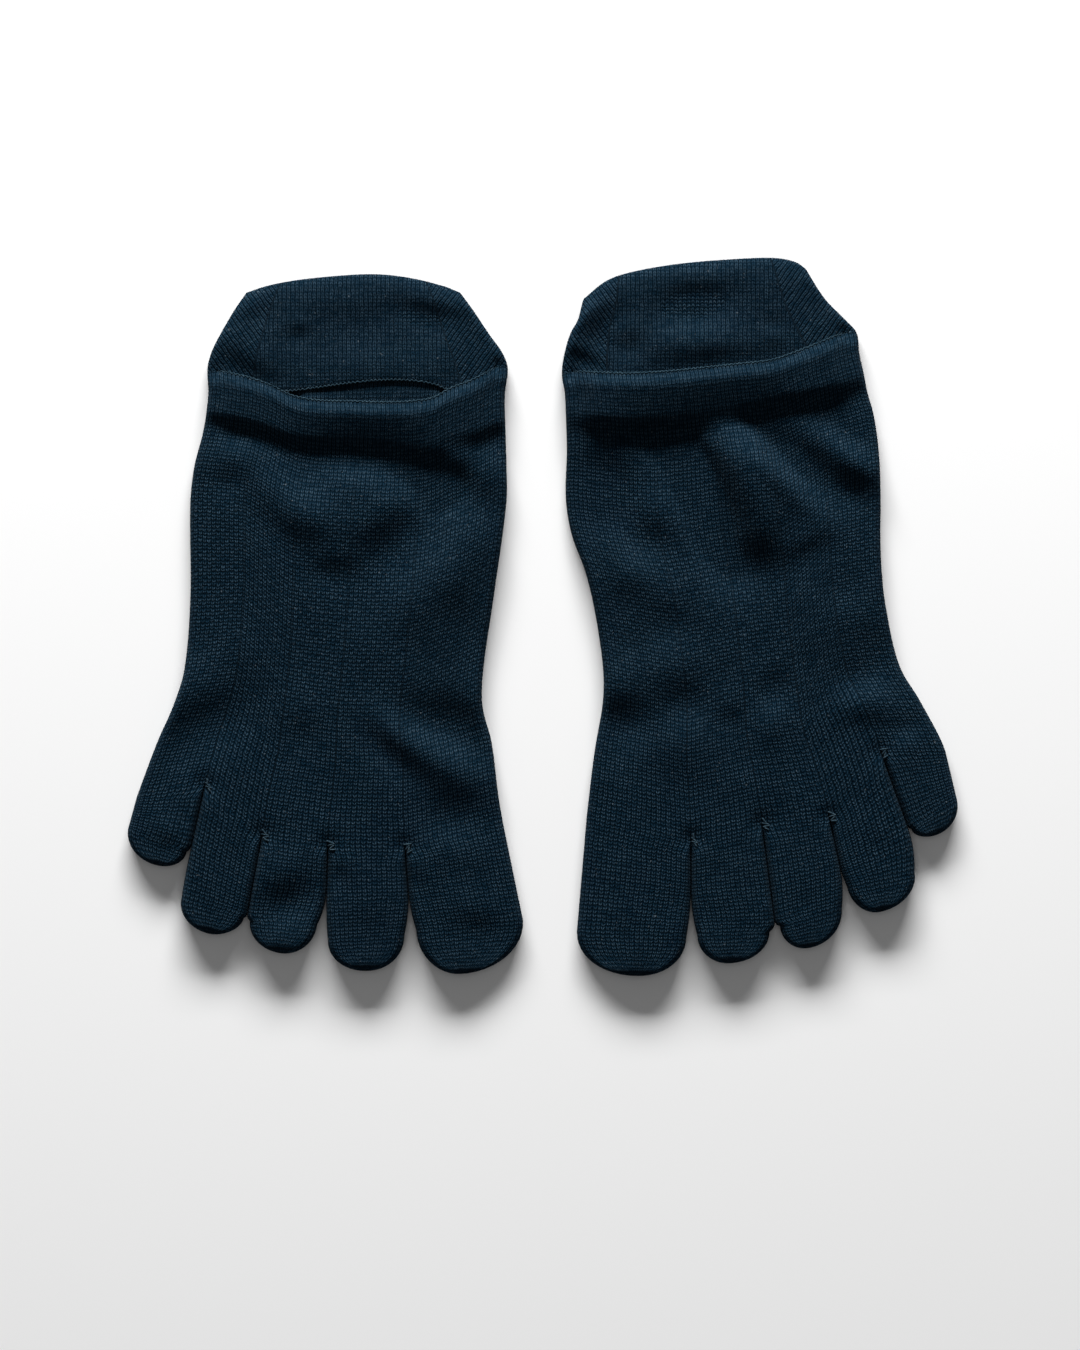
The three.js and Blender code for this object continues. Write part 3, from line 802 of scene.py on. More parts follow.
    def creases(self, plan: np.ndarray, folds: Sequence[Fold], slopes: Sequence[Fold]) -> np.ndarray:
        """Ridges, hollows and slopes, as listed.

        Each fades along its length as a bell curve. Across, a ridge is a bell curve too,
        and a slope is the distance times a bell curve, which peaks at its width.
        """
        rise = np.zeros(plan.shape[:-1])
        for number, fold in enumerate((*folds, *slopes)):
            turn = math.radians(fold.turn)
            away = plan - np.array([fold.x, fold.y])
            along = (away[..., 0] * math.cos(turn) + away[..., 1] * math.sin(turn)) / fold.length
            aside = (away[..., 1] * math.cos(turn) - away[..., 0] * math.sin(turn)) / fold.width
            across = np.exp(-(aside**2)) if number < len(folds) else aside * np.exp((1 - aside**2) / 2)
            rise = rise + fold.rise * across * np.exp(-(along**2))
        return rise

    def web_tucks(self, plan: np.ndarray) -> np.ndarray:
        """The pull of each web's seam on the cloth round it."""
        tuck = np.zeros(plan.shape[:-1])
        for web in self.form.webs:
            distance = np.linalg.norm(plan - np.array([web.x, web.y]), axis=-1)
            tuck = tuck - CLOTH.web_tuck * np.exp(-((distance / CLOTH.web_reach) ** 2))
        return tuck

    def mouth_lift(self, plan: np.ndarray) -> np.ndarray:
        """How far the sole's cloth stands up in the open mouth, where the rims lie apart.

        It climbs past the back rim, and falls again under the welt.
        """
        first, last = self.corners()
        share = np.clip((plan[..., 0] - first[0]) / (last[0] - first[0]), 0, 1)
        front, back = (follow(self.form.mouth, "across", key, share) for key in ("front", "back"))
        down = mix(first[1], last[1], share) - plan[..., 1]
        climb = ease(down - back, *CLOTH.lift_climb) * (1 - ease(down - front, *CLOTH.lift_fall))
        return CLOTH.mouth_lift * climb * ease(front - back, *CLOTH.lift_open)

    def instep_top(self, plan: np.ndarray, share: np.ndarray) -> np.ndarray:
        """Height of the instep's upper side: welt, hollow in front of it, foot and toes."""
        form = self.form
        past = self.past_rim(plan, share)
        beyond = past - follow(form.mouth, "across", "welt", share)
        left = plan[..., 0] - follow(form.edges, "y", "left", plan[..., 1])
        right = follow(form.edges, "y", "right", plan[..., 1]) - plan[..., 0]
        from_side = np.maximum(np.minimum(left, right) - CLOTH.turn, 0)
        foot = mix(CLOTH.side, CLOTH.instep, ease(from_side, 0, CLOTH.side_reach))
        crest, fall, drop = (follow(form.mouth, "across", key, share) for key in ("crest", "fall", "drop"))
        opened = mix(CLOTH.dip, foot, ease(beyond, drop, drop + form.dip_reach))
        opened = opened + self.creases(plan, form.folds, form.slopes) + self.web_tucks(plan)
        opened = opened + waves(plan, form.seed, CLOTH.instep_ripple)
        opened = soft_floor(opened, CLOTH.lowest, CLOTH.lowest_bend)
        down = np.clip(past / np.maximum(past - beyond, 1), 0, 1)
        rim = np.clip(1 - past / CLOTH.rim_roll, 0, 1)
        band = crest - fall * down**CLOTH.band_curve - CLOTH.rim_drop * rim**CLOTH.rim_curve
        band = mix(CLOTH.band_side, band, ease(from_side, *CLOTH.band_reach))
        edge = ease(beyond, CLOTH.edge_start, np.minimum(drop, CLOTH.edge_longest))
        welted = mix(band, opened, edge)
        return mix(CLOTH.flap, welted, self.corner_share(plan))

    def flap_top(self, plan: np.ndarray, place: np.ndarray) -> np.ndarray:
        """Height of the heel flap's upper side, level at its fold and at the mouth corners."""
        form = self.form
        soft = CLOTH.flap_rise + waves(plan, form.seed + 1, CLOTH.flap_ripple)
        rise = soft + self.creases(plan, (), form.heel_slopes)
        rise = soft_floor(rise, CLOTH.flap_lowest, CLOTH.flap_bend)
        return CLOTH.flap + rise * self.corner_share(plan) * ease(place, 0, CLOTH.flap_reach)[:, None]

    def wall(self, plan: np.ndarray, share: np.ndarray) -> np.ndarray:
        """The cloth's thickness on the instep: more at the welt, less at its very rim."""
        past = self.past_rim(plan, share)
        beyond = past - follow(self.form.mouth, "across", "welt", share)
        banded = mix(CLOTH.rim, CLOTH.welt, ease(past, 0, CLOTH.rim_roll))
        share_of_band = (1 - ease(beyond, *CLOTH.edge_wall)) * self.corner_share(plan)
        return mix(CLOTH.wall, banded, share_of_band)

    def raised(self, plan: np.ndarray, turn: np.ndarray, side: np.ndarray, opened: np.ndarray,
               top: np.ndarray, inset: float) -> tuple[np.ndarray, np.ndarray]:
        """Stands plan points up into the upper and the lower side of the tube.

        In a side fold the height follows a sine from mid height to the full one, which is
        that of the fold's own end.

        Args:
            plan: points by row, column and axis.
            turn: angle of each column round its fold.
            side: which fold each column is in.
            opened: how far each row stands open.
            top: height of the upper side at each point.
            inset: 0 outside, the wall inside.

        Returns:
            Upper points and lower points.
        """
        level = np.flatnonzero(side == 0)
        first, last = top[:, level[:1]], top[:, level[-1:]]
        height = np.where(side < 0, first, np.where(side > 0, last, top))
        half = np.arange(len(side)) < len(side) / 2
        middle = np.where(half, first + inset, last + inset) / 2
        lift = np.sin(np.radians(turn)) * opened[:, None]
        upper = np.dstack([plan, mix(middle, height, lift)])
        under = self.mouth_lift(plan) * (1.0 if inset else CLOTH.lift_under)
        lower = np.dstack([plan, mix(middle, max(inset, CLOTH.grip) + under, lift)])
        return upper, lower

    def body(self, inset: float, every: int) -> tuple[list[Grid], np.ndarray, np.ndarray]:
        """The sole, flap and instep of one side of the cloth.

        Args:
            inset: 0 outside, the wall inside.
            every: keeps one row in so many.

        Returns:
            The grids, and the points of the front rim and the back rim.
        """
        columns = self.columns(inset)
        turn, side, share = columns.turn, columns.side, columns.share
        turns = np.linspace(0, 90, self.fold_steps + 1)
        folds = self.fold_place(turns, inset) / self.heel_length()
        rest = np.linspace(folds[-1], 1, self.heel_rows // every + 1)[1:]
        heel = np.concatenate([folds, rest])
        opened = np.concatenate([np.sin(np.radians(turns)), np.ones(len(rest))])
        foot = np.linspace(1, 2, self.foot_rows // every + 1)
        full = np.ones(len(foot))
        inside = inset > 0
        flap_plan = self.body_plan(columns, heel, Sheet.FLAP, inset)
        flap_high = self.flap_top(flap_plan, heel) - inset
        flap, _ = self.raised(flap_plan, turn, side, opened, flap_high, inset)
        instep_plan = self.body_plan(columns, foot, Sheet.INSTEP, inset)
        wall = self.wall(instep_plan, share) if inside else 0
        instep_high = self.instep_top(instep_plan, share) - wall
        instep, _ = self.raised(instep_plan, turn, side, full, instep_high, inset)
        sole_heel = self.body_plan(columns, heel[:-1], Sheet.SOLE, inset)
        sole_foot = self.body_plan(columns, foot, Sheet.SOLE, inset)
        _, under_heel = self.raised(sole_heel, turn, side, opened[:-1], flap_high[:-1], inset)
        _, under_foot = self.raised(sole_foot, turn, side, full, instep_high, inset)
        heel_course = -(1 - heel) * self.heel_length() / CLOTH.course
        foot_course = (foot - 1) * (self.form.mouth_left - self.form.root_left) / CLOTH.course
        grids = [
            self.grid(flap, columns.wale, 2 * heel_course[0] - heel_course, inside),
            self.grid(instep, columns.wale, foot_course, inside),
            self.grid(under_heel, self.turned(columns), heel_course[:-1], not inside),
            self.grid(np.concatenate([under_heel[-1:], under_foot]), self.turned(columns),
                      np.concatenate([heel_course[-2:-1], foot_course]), not inside),
        ]
        grids[0].knit[:] = self.heel_knit(flap, share)
        level = side == 0
        return grids, instep[0, level], flap[-1, level]

    def heel_knit(self, points: np.ndarray, share: np.ndarray) -> np.ndarray:
        """Wale and course numbers on the heel flap.

        Its wales stand upright and evenly apart. In the gores beside the side folds they
        run down and inwards instead, which is the same count on turned axes.

        Args:
            points: the flap's points.
            share: each column's share of the mouth.

        Returns:
            Wale and course by row and column.
        """
        side = np.where(share < CLOTH.gore, 1.0, np.where(share > 1 - CLOTH.gore, -1.0, 0.0))
        turn = np.radians(CLOTH.gore_turn) * side
        wale = points[..., 0] * np.cos(turn) + points[..., 1] * np.sin(turn)
        course = points[..., 1] * np.cos(turn) - points[..., 0] * np.sin(turn)
        return np.stack([wale / CLOTH.wale, course / CLOTH.course], -1)

    def turned(self, columns: Columns) -> np.ndarray:
        """Wale numbers on the sole, so that the pattern runs on round the left fold."""
        return -2 * CLOTH.fold_wales - columns.wale

    def grid(self, points: np.ndarray, wale: np.ndarray, course: np.ndarray, flip: bool) -> Grid:
        """A grid with its knit numbers and its zones.

        The welt is told by how far a point lies forward of the front rim, and the mid foot
        by its place between the welt and the toes.
        """
        knit = np.stack(np.broadcast_arrays(wale[None, :], course[:, None]), -1)
        share = np.clip(knit[..., 0] / (self.starts()[-1] + self.form.toes[-1].wales), 0, 1)
        plan = points[..., :2]
        beyond = self.past_rim(plan, share) - follow(self.form.mouth, "across", "welt", share)
        high = points[..., 2] > CLOTH.flap + CLOTH.zone_above
        welt = (1 - ease(beyond, *CLOTH.welt_zone)) * high
        foot = ease(beyond, *CLOTH.foot_zone) * (1 - ease(-plan[..., 1], *CLOTH.toe_zone)) * high
        return Grid(points, knit, np.stack([welt, foot, np.zeros_like(foot)], -1), flip)

    def toes(self, inset: float, every: int) -> list[Grid]:
        """The toes' upper and lower grids, and the strips of cloth between neighbours."""
        inside = inset > 0
        shaft = np.linspace(0, 1, self.shaft_rows // every + 1)
        turns = np.linspace(0, 90, self.tip_rows // every + 1)[1:]
        grids, sides = [], []
        root_course = (self.form.mouth_left - self.form.root_left) / CLOTH.course
        for index, (row, start) in enumerate(zip(self.form.toes, self.starts())):
            turn, share, side, wale = self.toe_columns(row.wales)
            toe = Toe(self.form, index, inset)
            rows = toe.rows(shaft, turns)
            plan = toe.plan(turn, share, side, rows)
            mouth_share = np.full(len(turn), (index + 0.5) / len(self.form.toes))
            high = self.instep_top(plan, mouth_share) - inset
            upper, lower = self.raised(plan, turn, side, rows.opened, high, inset)
            middle = (rows.left + rows.right) / 2
            run = np.concatenate([[0], np.cumsum(np.linalg.norm(np.diff(middle, axis=0), axis=1))])
            course = root_course + run / CLOTH.course
            grids.append(self.grid(upper, wale + start, course, inside))
            grids.append(self.grid(lower, -2 * CLOTH.fold_wales - wale - start, course, not inside))
            sides.append((upper[0], lower[0]))
        count = self.fold_steps + 1
        for left, right in zip(sides, sides[1:]):
            strip = [self.upright(left[0][-count:][::-1], left[1][-count:][::-1]),
                     self.upright(right[0][:count], right[1][:count])]
            wall = np.stack(strip, 1)
            course = root_course + np.arange(len(wall)) / 2
            grids.append(self.grid(wall, np.array([0.0, 1.0]), course, inside))
        return grids

    def upright(self, upper: np.ndarray, lower: np.ndarray) -> np.ndarray:
        """The column of points beside a web, from the top of the cloth to its underside."""
        return np.concatenate([upper[::-1], lower[1:]])

    def lip(self, outer: np.ndarray, inner: np.ndarray, towards: float, flip: bool) -> Grid:
        """The rounded edge of a rim: half circles from its upper to its under side.

        Args:
            outer: points of the rim outside.
            inner: points of the rim inside, under them.
            towards: 1 where the edge faces the heel, -1 where it faces the toes.
            flip: turns the faces over.

        Returns:
            The edge as a grid.
        """
        angles = np.linspace(0, np.pi, CLOTH.lip_points)[:, None]
        radius = (outer[:, 2] - inner[:, 2]) / 2
        bulge = radius * self.corner_share(outer[:, :2]) * CLOTH.lip_bulge
        points = np.repeat(((outer + inner) / 2)[None], len(angles), 0)
        points[..., 2] += radius * np.cos(angles)
        points[..., 1] += towards * bulge * np.sin(angles)
        columns = self.columns(0)
        wale = columns.wale[columns.side == 0]
        return self.grid(points, wale, -CLOTH.lip_course * np.arange(len(angles)), flip)

    def rims(self) -> tuple[np.ndarray, np.ndarray]:
        """Points of the front rim and the back rim on the outside of the cloth."""
        _, front, back = self.body(0, 1)
        return front, back

    def cut(self) -> tuple[float, float]:
        """Size in metres of the knitted tube laid out.

        All round it at its widest, and from the lowest toe tip along the sole to the heel
        fold and on over the flap to the back rim.
        """
        form = self.form
        across = np.linspace(0, 1, self.cut_points)
        heel = mix(form.heel_left, form.heel_right, across) + follow(form.heel, "across", "rise", across)
        rim = mix(form.mouth_left, form.mouth_right, across)
        rim = rim - follow(form.mouth, "across", Sheet.FLAP.value, across)
        around = 2 * max(row.right - row.left for row in form.edges)
        along = np.max(2 * heel - rim) - min(toe.tip_y for toe in form.toes)
        return around * MM, float(along) * MM

    def shell(self) -> bpy.types.Object:
        """The whole cloth as one closed mesh."""
        outer, front_out, back_out = self.body(0, 1)
        outer += self.toes(0, 1)
        inner, front_in, back_in = self.body(CLOTH.wall, self.inner_rows)
        inner += self.toes(CLOTH.wall, self.inner_rows)
        grids = outer + inner
        grids.append(self.lip(front_out, front_in, 1, True))
        grids.append(self.lip(back_out, back_in, -1, False))
        return welded(self.form.name + "_cloth", grids, self.form.centre_x)


def linked(name: str, points: object, faces: object, smooth: bool = True) -> bpy.types.Object:
    """A mesh object in the scene.

    Args:
        name: the object's name.
        points: its points, in metres.
        faces: the points of each face.
        smooth: whether it is shaded smoothly.

    Returns:
        The object.
    """
    mesh = bpy.data.meshes.new(name)
    mesh.from_pydata(points, [], faces)
    mesh.polygons.foreach_set("use_smooth", np.full(len(mesh.polygons), smooth))
    piece = bpy.data.objects.new(name, mesh)
    bpy.context.scene.collection.objects.link(piece)
    return piece


def welded(name: str, grids: Sequence[Grid], centre_x: float) -> bpy.types.Object:
    """Puts grids into one mesh and closes the seams between them.

    Args:
        name: the object's name.
        grids: grids whose edges meet.
        centre_x: where the sock's own frame lies across the pair, in millimetres.

    Returns:
        The object, linked to the scene.
    """
    points, knits, zones, quads, start = [], [], [], [], 0
    for grid in grids:
        rows, columns = grid.points.shape[:2]
        index = start + np.arange(rows * columns).reshape(rows, columns)
        a, b, c, d = index[:-1, :-1], index[1:, :-1], index[1:, 1:], index[:-1, 1:]
        quad = np.stack([a, d, c, b] if grid.flip else [a, b, c, d], -1).reshape(-1, 4)
        points.append(grid.points.reshape(-1, 3))
        knits.append(grid.knit.reshape(-1, 2))
        zones.append(grid.zones.reshape(-1, 3))
        quads.append(quad)
        start += rows * columns
    place = (np.concatenate(points) + np.array([centre_x, 0, 0])) * MM
    knit, quad = np.concatenate(knits), np.concatenate(quads)
    piece = linked(name, place, quad)
    mesh = piece.data
    layer = mesh.uv_layers.new(name="knit")
    layer.data.foreach_set("uv", knit[quad.ravel()].ravel())
    zone = mesh.attributes.new("zones", "FLOAT_VECTOR", "POINT")
    zone.data.foreach_set("vector", np.concatenate(zones).ravel())
    build = bmesh.new()
    build.from_mesh(mesh)
    bmesh.ops.remove_doubles(build, verts=build.verts, dist=WELD)
    bmesh.ops.dissolve_degenerate(build, edges=build.edges, dist=LEAST_EDGE)
    build.to_mesh(mesh)
    build.free()
    return piece


def tubes(name: str, paths: np.ndarray, radius: float, sides: int, centre_x: float) -> bpy.types.Object:
    """Round threads along many paths at once, as one mesh with closed ends.

    Each ring stands square to its path: its two axes are the path's direction crossed
    with one nearly upright, and that crossed with the direction again.

    Args:
        name: the object's name.
        paths: points by thread, step and axis, in millimetres.
        radius: the threads' radius, in millimetres.
        sides: faces round a thread.
        centre_x: where the sock's own frame lies across the pair.

    Returns:
        The object, linked to the scene.
    """
    threads, steps = paths.shape[:2]
    run = np.gradient(paths, axis=1)
    run = run / np.linalg.norm(run, axis=2, keepdims=True)
    aside = np.cross(run, np.array(NEARLY_UP))
    aside = aside / np.linalg.norm(aside, axis=2, keepdims=True)
    above = np.cross(aside, run)
    angles = np.arange(sides) * 2 * np.pi / sides
    section = np.clip(1 - np.linspace(-1, 1, steps) ** TAPER_POWER, TAPER_LEAST, 1)
    thin = np.sqrt(section)[None, :, None, None] * radius
    ring = aside[:, :, None] * np.cos(angles)[:, None] + above[:, :, None] * np.sin(angles)[:, None]
    points = paths[:, :, None] + ring * thin
    index = np.arange(threads * steps * sides).reshape(threads, steps, sides)
    after = np.roll(index, -1, axis=2)
    quads = np.stack([index[:, :-1], after[:, :-1], after[:, 1:], index[:, 1:]], -1).reshape(-1, 4)
    caps = [list(cap) for cap in index[:, 0, ::-1]] + [list(cap) for cap in index[:, -1]]
    place = (points.reshape(-1, 3) + np.array([centre_x, 0, 0])) * MM
    return linked(name, place, quads.tolist() + caps)


class Tree:
    """A short way to build a material's nodes."""

    def __init__(self, name: str) -> None:
        """Starts a material with its shader and output."""
        self.material = bpy.data.materials.new(name)
        self.material.use_nodes = True
        self.nodes = self.material.node_tree.nodes
        self.links = self.material.node_tree.links
        self.shader = self.nodes["Principled BSDF"]

    def feed(self, socket: bpy.types.NodeSocket, value: object) -> None:
        """Puts a number, a colour or another node's output into a socket."""
        if isinstance(value, bpy.types.NodeSocket):
            self.links.new(value, socket)
        else:
            socket.default_value = value

    def set(self, **values: object) -> None:
        """Sets the shader's own sockets, named with _ for each space."""
        for name, value in values.items():
            self.shader.inputs[name.replace("_", " ")].default_value = value

    def place(self) -> bpy.types.NodeSocket:
        """The point's place on the piece, in metres."""
        return self.nodes.new("ShaderNodeTexCoord").outputs["Object"]

    def math(self, operation: str, first: object, second: object = 0.0,
             third: object = 0.0) -> bpy.types.NodeSocket:
        """One step of arithmetic."""
        node = self.nodes.new("ShaderNodeMath")
        node.operation = operation
        for socket, value in zip(node.inputs, (first, second, third)):
            self.feed(socket, value)
        return node.outputs[0]

    def ramp(self, value: object, low: float, high: float, start: float = 0.0,
             end: float = 1.0) -> bpy.types.NodeSocket:
        """Moves a value from one range into another, with level ends."""
        node = self.nodes.new("ShaderNodeMapRange")
        node.interpolation_type = "SMOOTHSTEP"
        for socket, item in zip(node.inputs, (value, low, high, start, end)):
            self.feed(socket, item)
        return node.outputs[0]

    def noise(self, vector: object, scale: float, detail: float = 2.0) -> bpy.types.NodeSocket:
        """Soft noise from 0 to 1."""
        node = self.nodes.new("ShaderNodeTexNoise")
        self.feed(node.inputs["Vector"], vector)
        node.inputs["Scale"].default_value = scale
        node.inputs["Detail"].default_value = detail
        return node.outputs["Fac"]

    def chance(self, dimensions: str, **where: object) -> bpy.types.NodeSocket:
        """A random value from 0 to 1, the same for the same input."""
        node = self.nodes.new("ShaderNodeTexWhiteNoise")
        node.noise_dimensions = dimensions
        for name, value in where.items():
            self.feed(node.inputs[name], value)
        return node.outputs["Value"]

    def split(self, vector: bpy.types.NodeSocket) -> Sequence[bpy.types.NodeSocket]:
        """A vector's three parts."""
        node = self.nodes.new("ShaderNodeSeparateXYZ")
        self.feed(node.inputs[0], vector)
        return node.outputs

    def join(self, first: object, second: object) -> bpy.types.NodeSocket:
        """A vector from two parts."""
        node = self.nodes.new("ShaderNodeCombineXYZ")
        self.feed(node.inputs[0], first)
        self.feed(node.inputs[1], second)
        return node.outputs[0]

    def blend(self, share: object, first: object, second: object) -> bpy.types.NodeSocket:
        """Mixes two colours."""
        node = self.nodes.new("ShaderNodeMix")
        node.data_type = "RGBA"
        self.feed(node.inputs["Factor"], share)
        self.feed(node.inputs["A"], first)
        self.feed(node.inputs["B"], second)
        return node.outputs["Result"]

    def relief(self, height: bpy.types.NodeSocket, depth: float) -> None:
        """Bumps the surface by a height whose full size is the depth, in millimetres."""
        bump = self.nodes.new("ShaderNodeBump")
        bump.inputs["Strength"].default_value = 1.0
        bump.inputs["Distance"].default_value = depth * MM
        self.feed(bump.inputs["Height"], height)
        self.feed(self.shader.inputs["Normal"], bump.outputs[0])


class Grain(NamedTuple):
    """A noise: its waves to a metre, its detail, and how strongly it works."""

    scale: float
    detail: float
    share: float = 1.0


class Range(NamedTuple):
    """From which range of a value to which other range a ramp leads."""

    low: float
    high: float
    start: float = 0.0
    end: float = 1.0


class Stitch(NamedTuple):
    """The sockets that describe one point of the knit."""

    wale: bpy.types.NodeSocket
    course: bpy.types.NodeSocket
    welt: bpy.types.NodeSocket
    foot: bpy.types.NodeSocket
    height: bpy.types.NodeSocket


@dataclass(frozen=True)
class KnitFinish:
    """Dark heathered knit: columns of V-shaped stitches, in yarn with a little fuzz.

    Colours are linear: pale is a painted highlight on raised stitches and also the colour of the fluff
    specks, and deep is painted shade between stitches. The depth is in millimetres. Patches are counted to
    a wale and to a course. How far a leg swells and how much painted highlight it takes are each given for
    the foot, and then as the change to the welt.
    """

    name: str = "navy_knit"
    yarn: tuple[float, float, float] = (0.0025, 0.0118, 0.0226)
    # pale: painted highlight on raised stitches, and the colour of the fluff specks
    pale: tuple[float, float, float] = (0.0400, 0.072, 0.101)
    # deep: painted shade in the gaps between stitches
    deep: tuple[float, float, float] = (0.0001, 0.0032, 0.0062)
    fleck: tuple[float, float, float] = (0.085, 0.105, 0.12)
    depth: float = 0.42
    rough: float = 0.95
    gloss: float = 0.01
    sheen: float = 0.015
    sheen_rough: float = 0.55
    sheen_tint: tuple[float, float, float, float] = (0.55, 0.72, 0.85, 1)
    wale_wander: Grain = Grain(420, 1, 0.5)
    course_wander: Grain = Grain(520, 1, 0.9)
    fuzz: Grain = Grain(2600, 3, 0.45)
    heather: Grain = Grain(1300, 3, 0.36)
    patches: Grain = Grain(1, 1, 1.4)
    patch_counts: tuple[float, float] = (0.3, 0.85)
    patch_middle: float = 0.38
    mottle: Grain = Grain(330, 2, 0.75)
    streak: float = 0.22
    specks: Grain = Grain(3100, 1, 0.5)
    flecks: Grain = Grain(1400, 0, 0.55)
    groove: Range = Range(0.0, 0.32, 0.42, 1.0)
    roundness: float = 0.75
    climb: float = 0.55
    swell: tuple[float, float] = (0.5, -0.2)
    openwork: float = 0.2
    lit_height: Range = Range(0.35, 0.95)
    lit_heather: Range = Range(0.42, 1.05, 0.06, 1.0)
    lit_share: tuple[float, float] = (0.2, -0.22)
    # how strongly the painted gap shade covers the colour, from low stitches to high ones
    gap_shade_height: Range = Range(0.1, 0.62, 0.86, 0.0)
    speck_range: tuple[float, float] = (0.68, 0.8)
    fleck_range: tuple[float, float] = (0.815, 0.85)

    def build(self) -> bpy.types.Material:
        """The finish as nodes."""
        tree = Tree(self.name)
        place = tree.place()
        stitch = self.stitch(tree, place)
        across = tree.math("SINE", tree.math("MULTIPLY", stitch.wale, math.pi))
        along = tree.math("SINE", tree.math("MULTIPLY", stitch.course, math.pi))
        holes = tree.math("MULTIPLY", stitch.foot, self.openwork)
        check = tree.math("MULTIPLY", tree.math("MULTIPLY", across, along), holes)
        height = tree.math("ADD", stitch.height, check)
        fuzz = tree.noise(place, self.fuzz.scale, self.fuzz.detail)
        tree.relief(tree.math("MULTIPLY_ADD", fuzz, self.fuzz.share, height), self.depth)
        tree.feed(tree.shader.inputs["Base Color"], self.colour(tree, place, stitch))
        tree.set(Roughness=self.rough, Specular_IOR_Level=self.gloss, Sheen_Weight=self.sheen,
                 Sheen_Roughness=self.sheen_rough, Sheen_Tint=self.sheen_tint)
        return tree.material

    def wandering(self, tree: Tree, place: bpy.types.NodeSocket, grain: Grain,
                  number: bpy.types.NodeSocket) -> bpy.types.NodeSocket:
        """A wale or course number that strays a little, as yarn does."""
        drift = tree.math("SUBTRACT", tree.noise(place, grain.scale, grain.detail), 0.5)
        return tree.math("MULTIPLY_ADD", drift, grain.share, number)

    def stitch(self, tree: Tree, place: bpy.types.NodeSocket) -> Stitch:
        """The knit's own coordinates and the height of its stitches.

        A wale is highest in its middle, with a faint groove where its two legs meet. The
        legs' courses climb towards the wale's edges, which draws the V.

        Args:
            tree: the material's nodes.
            place: the point's place on the piece.

        Returns:
            The stitch at each point.
        """
        knit = tree.nodes.new("ShaderNodeUVMap")
        knit.uv_map = "knit"
        zones = tree.nodes.new("ShaderNodeAttribute")
        zones.attribute_name = "zones"
        wale, course, _ = tree.split(knit.outputs[0])
        welt, foot, _ = tree.split(zones.outputs["Vector"])
        wale = self.wandering(tree, place, self.wale_wander, wale)
        course = self.wandering(tree, place, self.course_wander, course)
        side = tree.math("ABSOLUTE", tree.math("MULTIPLY_ADD", tree.math("FRACT", wale), 2.0, -1.0))
        mound = tree.math("COSINE", tree.math("MULTIPLY", side, math.pi / 2))
        mound = tree.math("POWER", mound, self.roundness)
        rise = tree.math("MULTIPLY", mound, tree.ramp(side, *self.groove))
        phase = tree.math("MULTIPLY_ADD", side, self.climb, course)
        leg = tree.math("SINE", tree.math("MULTIPLY", phase, 2 * math.pi))
        leg = tree.math("MULTIPLY_ADD", leg, 0.5, 0.5)
        swell = tree.math("MULTIPLY_ADD", welt, self.swell[1], self.swell[0])
        fall = tree.math("MULTIPLY_ADD", tree.math("SUBTRACT", leg, 1.0), swell, 1.0)
        return Stitch(wale, course, welt, foot, tree.math("MULTIPLY", rise, fall))

    def colour(self, tree: Tree, place: bpy.types.NodeSocket, stitch: Stitch) -> bpy.types.NodeSocket:
        """The knit's colour: heathered yarn with a painted highlight where a stitch stands up, painted
        shade between stitches, and specks of fluff.

        Args:
            tree: the material's nodes.
            place: the point's place on the piece.
            stitch: the stitch at each point.

        Returns:
            The colour.
        """
        row = tree.math("FLOOR", stitch.course)
        own = tree.chance("2D", Vector=tree.join(tree.math("FLOOR", stitch.wale), row))
        heather = tree.noise(place, self.heather.scale, self.heather.detail)
        heather = tree.math("MULTIPLY_ADD", own, self.heather.share, heather)
        patch = tree.join(tree.math("MULTIPLY", stitch.wale, self.patch_counts[0]),
                          tree.math("MULTIPLY", stitch.course, self.patch_counts[1]))
        patches = tree.noise(patch, self.patches.scale, self.patches.detail)
        patches = tree.math("SUBTRACT", patches, self.patch_middle)
        heather = tree.math("MULTIPLY_ADD", patches, self.patches.share, heather)
        # painted highlight: raised stitches turn pale, more where the heather is light, varied by mottle
        # and less on the welt
        lit = tree.math("MULTIPLY", tree.ramp(stitch.height, *self.lit_height),
                        tree.ramp(heather, *self.lit_heather))
        mottle = tree.noise(place, self.mottle.scale, self.mottle.detail)
        mottle = tree.math("MULTIPLY_ADD", tree.chance("1D", W=row), self.streak, mottle)
        share = tree.math("MULTIPLY_ADD", stitch.welt, self.lit_share[1], self.lit_share[0])
        share = tree.math("MULTIPLY_ADD", mottle, self.mottle.share, share)
        colour = tree.blend(tree.math("MULTIPLY", lit, share), (*self.yarn, 1), (*self.pale, 1))
        # painted shade: where a stitch is low, between stitches, the colour darkens towards deep
        colour = tree.blend(tree.ramp(stitch.height, *self.gap_shade_height), colour, (*self.deep, 1))
        for grain, (low, high), shade in ((self.specks, self.speck_range, self.pale),
                                          (self.flecks, self.fleck_range, self.fleck)):
            spots = tree.noise(place, grain.scale, grain.detail)
            colour = tree.blend(tree.ramp(spots, low, high, 0.0, grain.share), colour, (*shade, 1))
        return colour


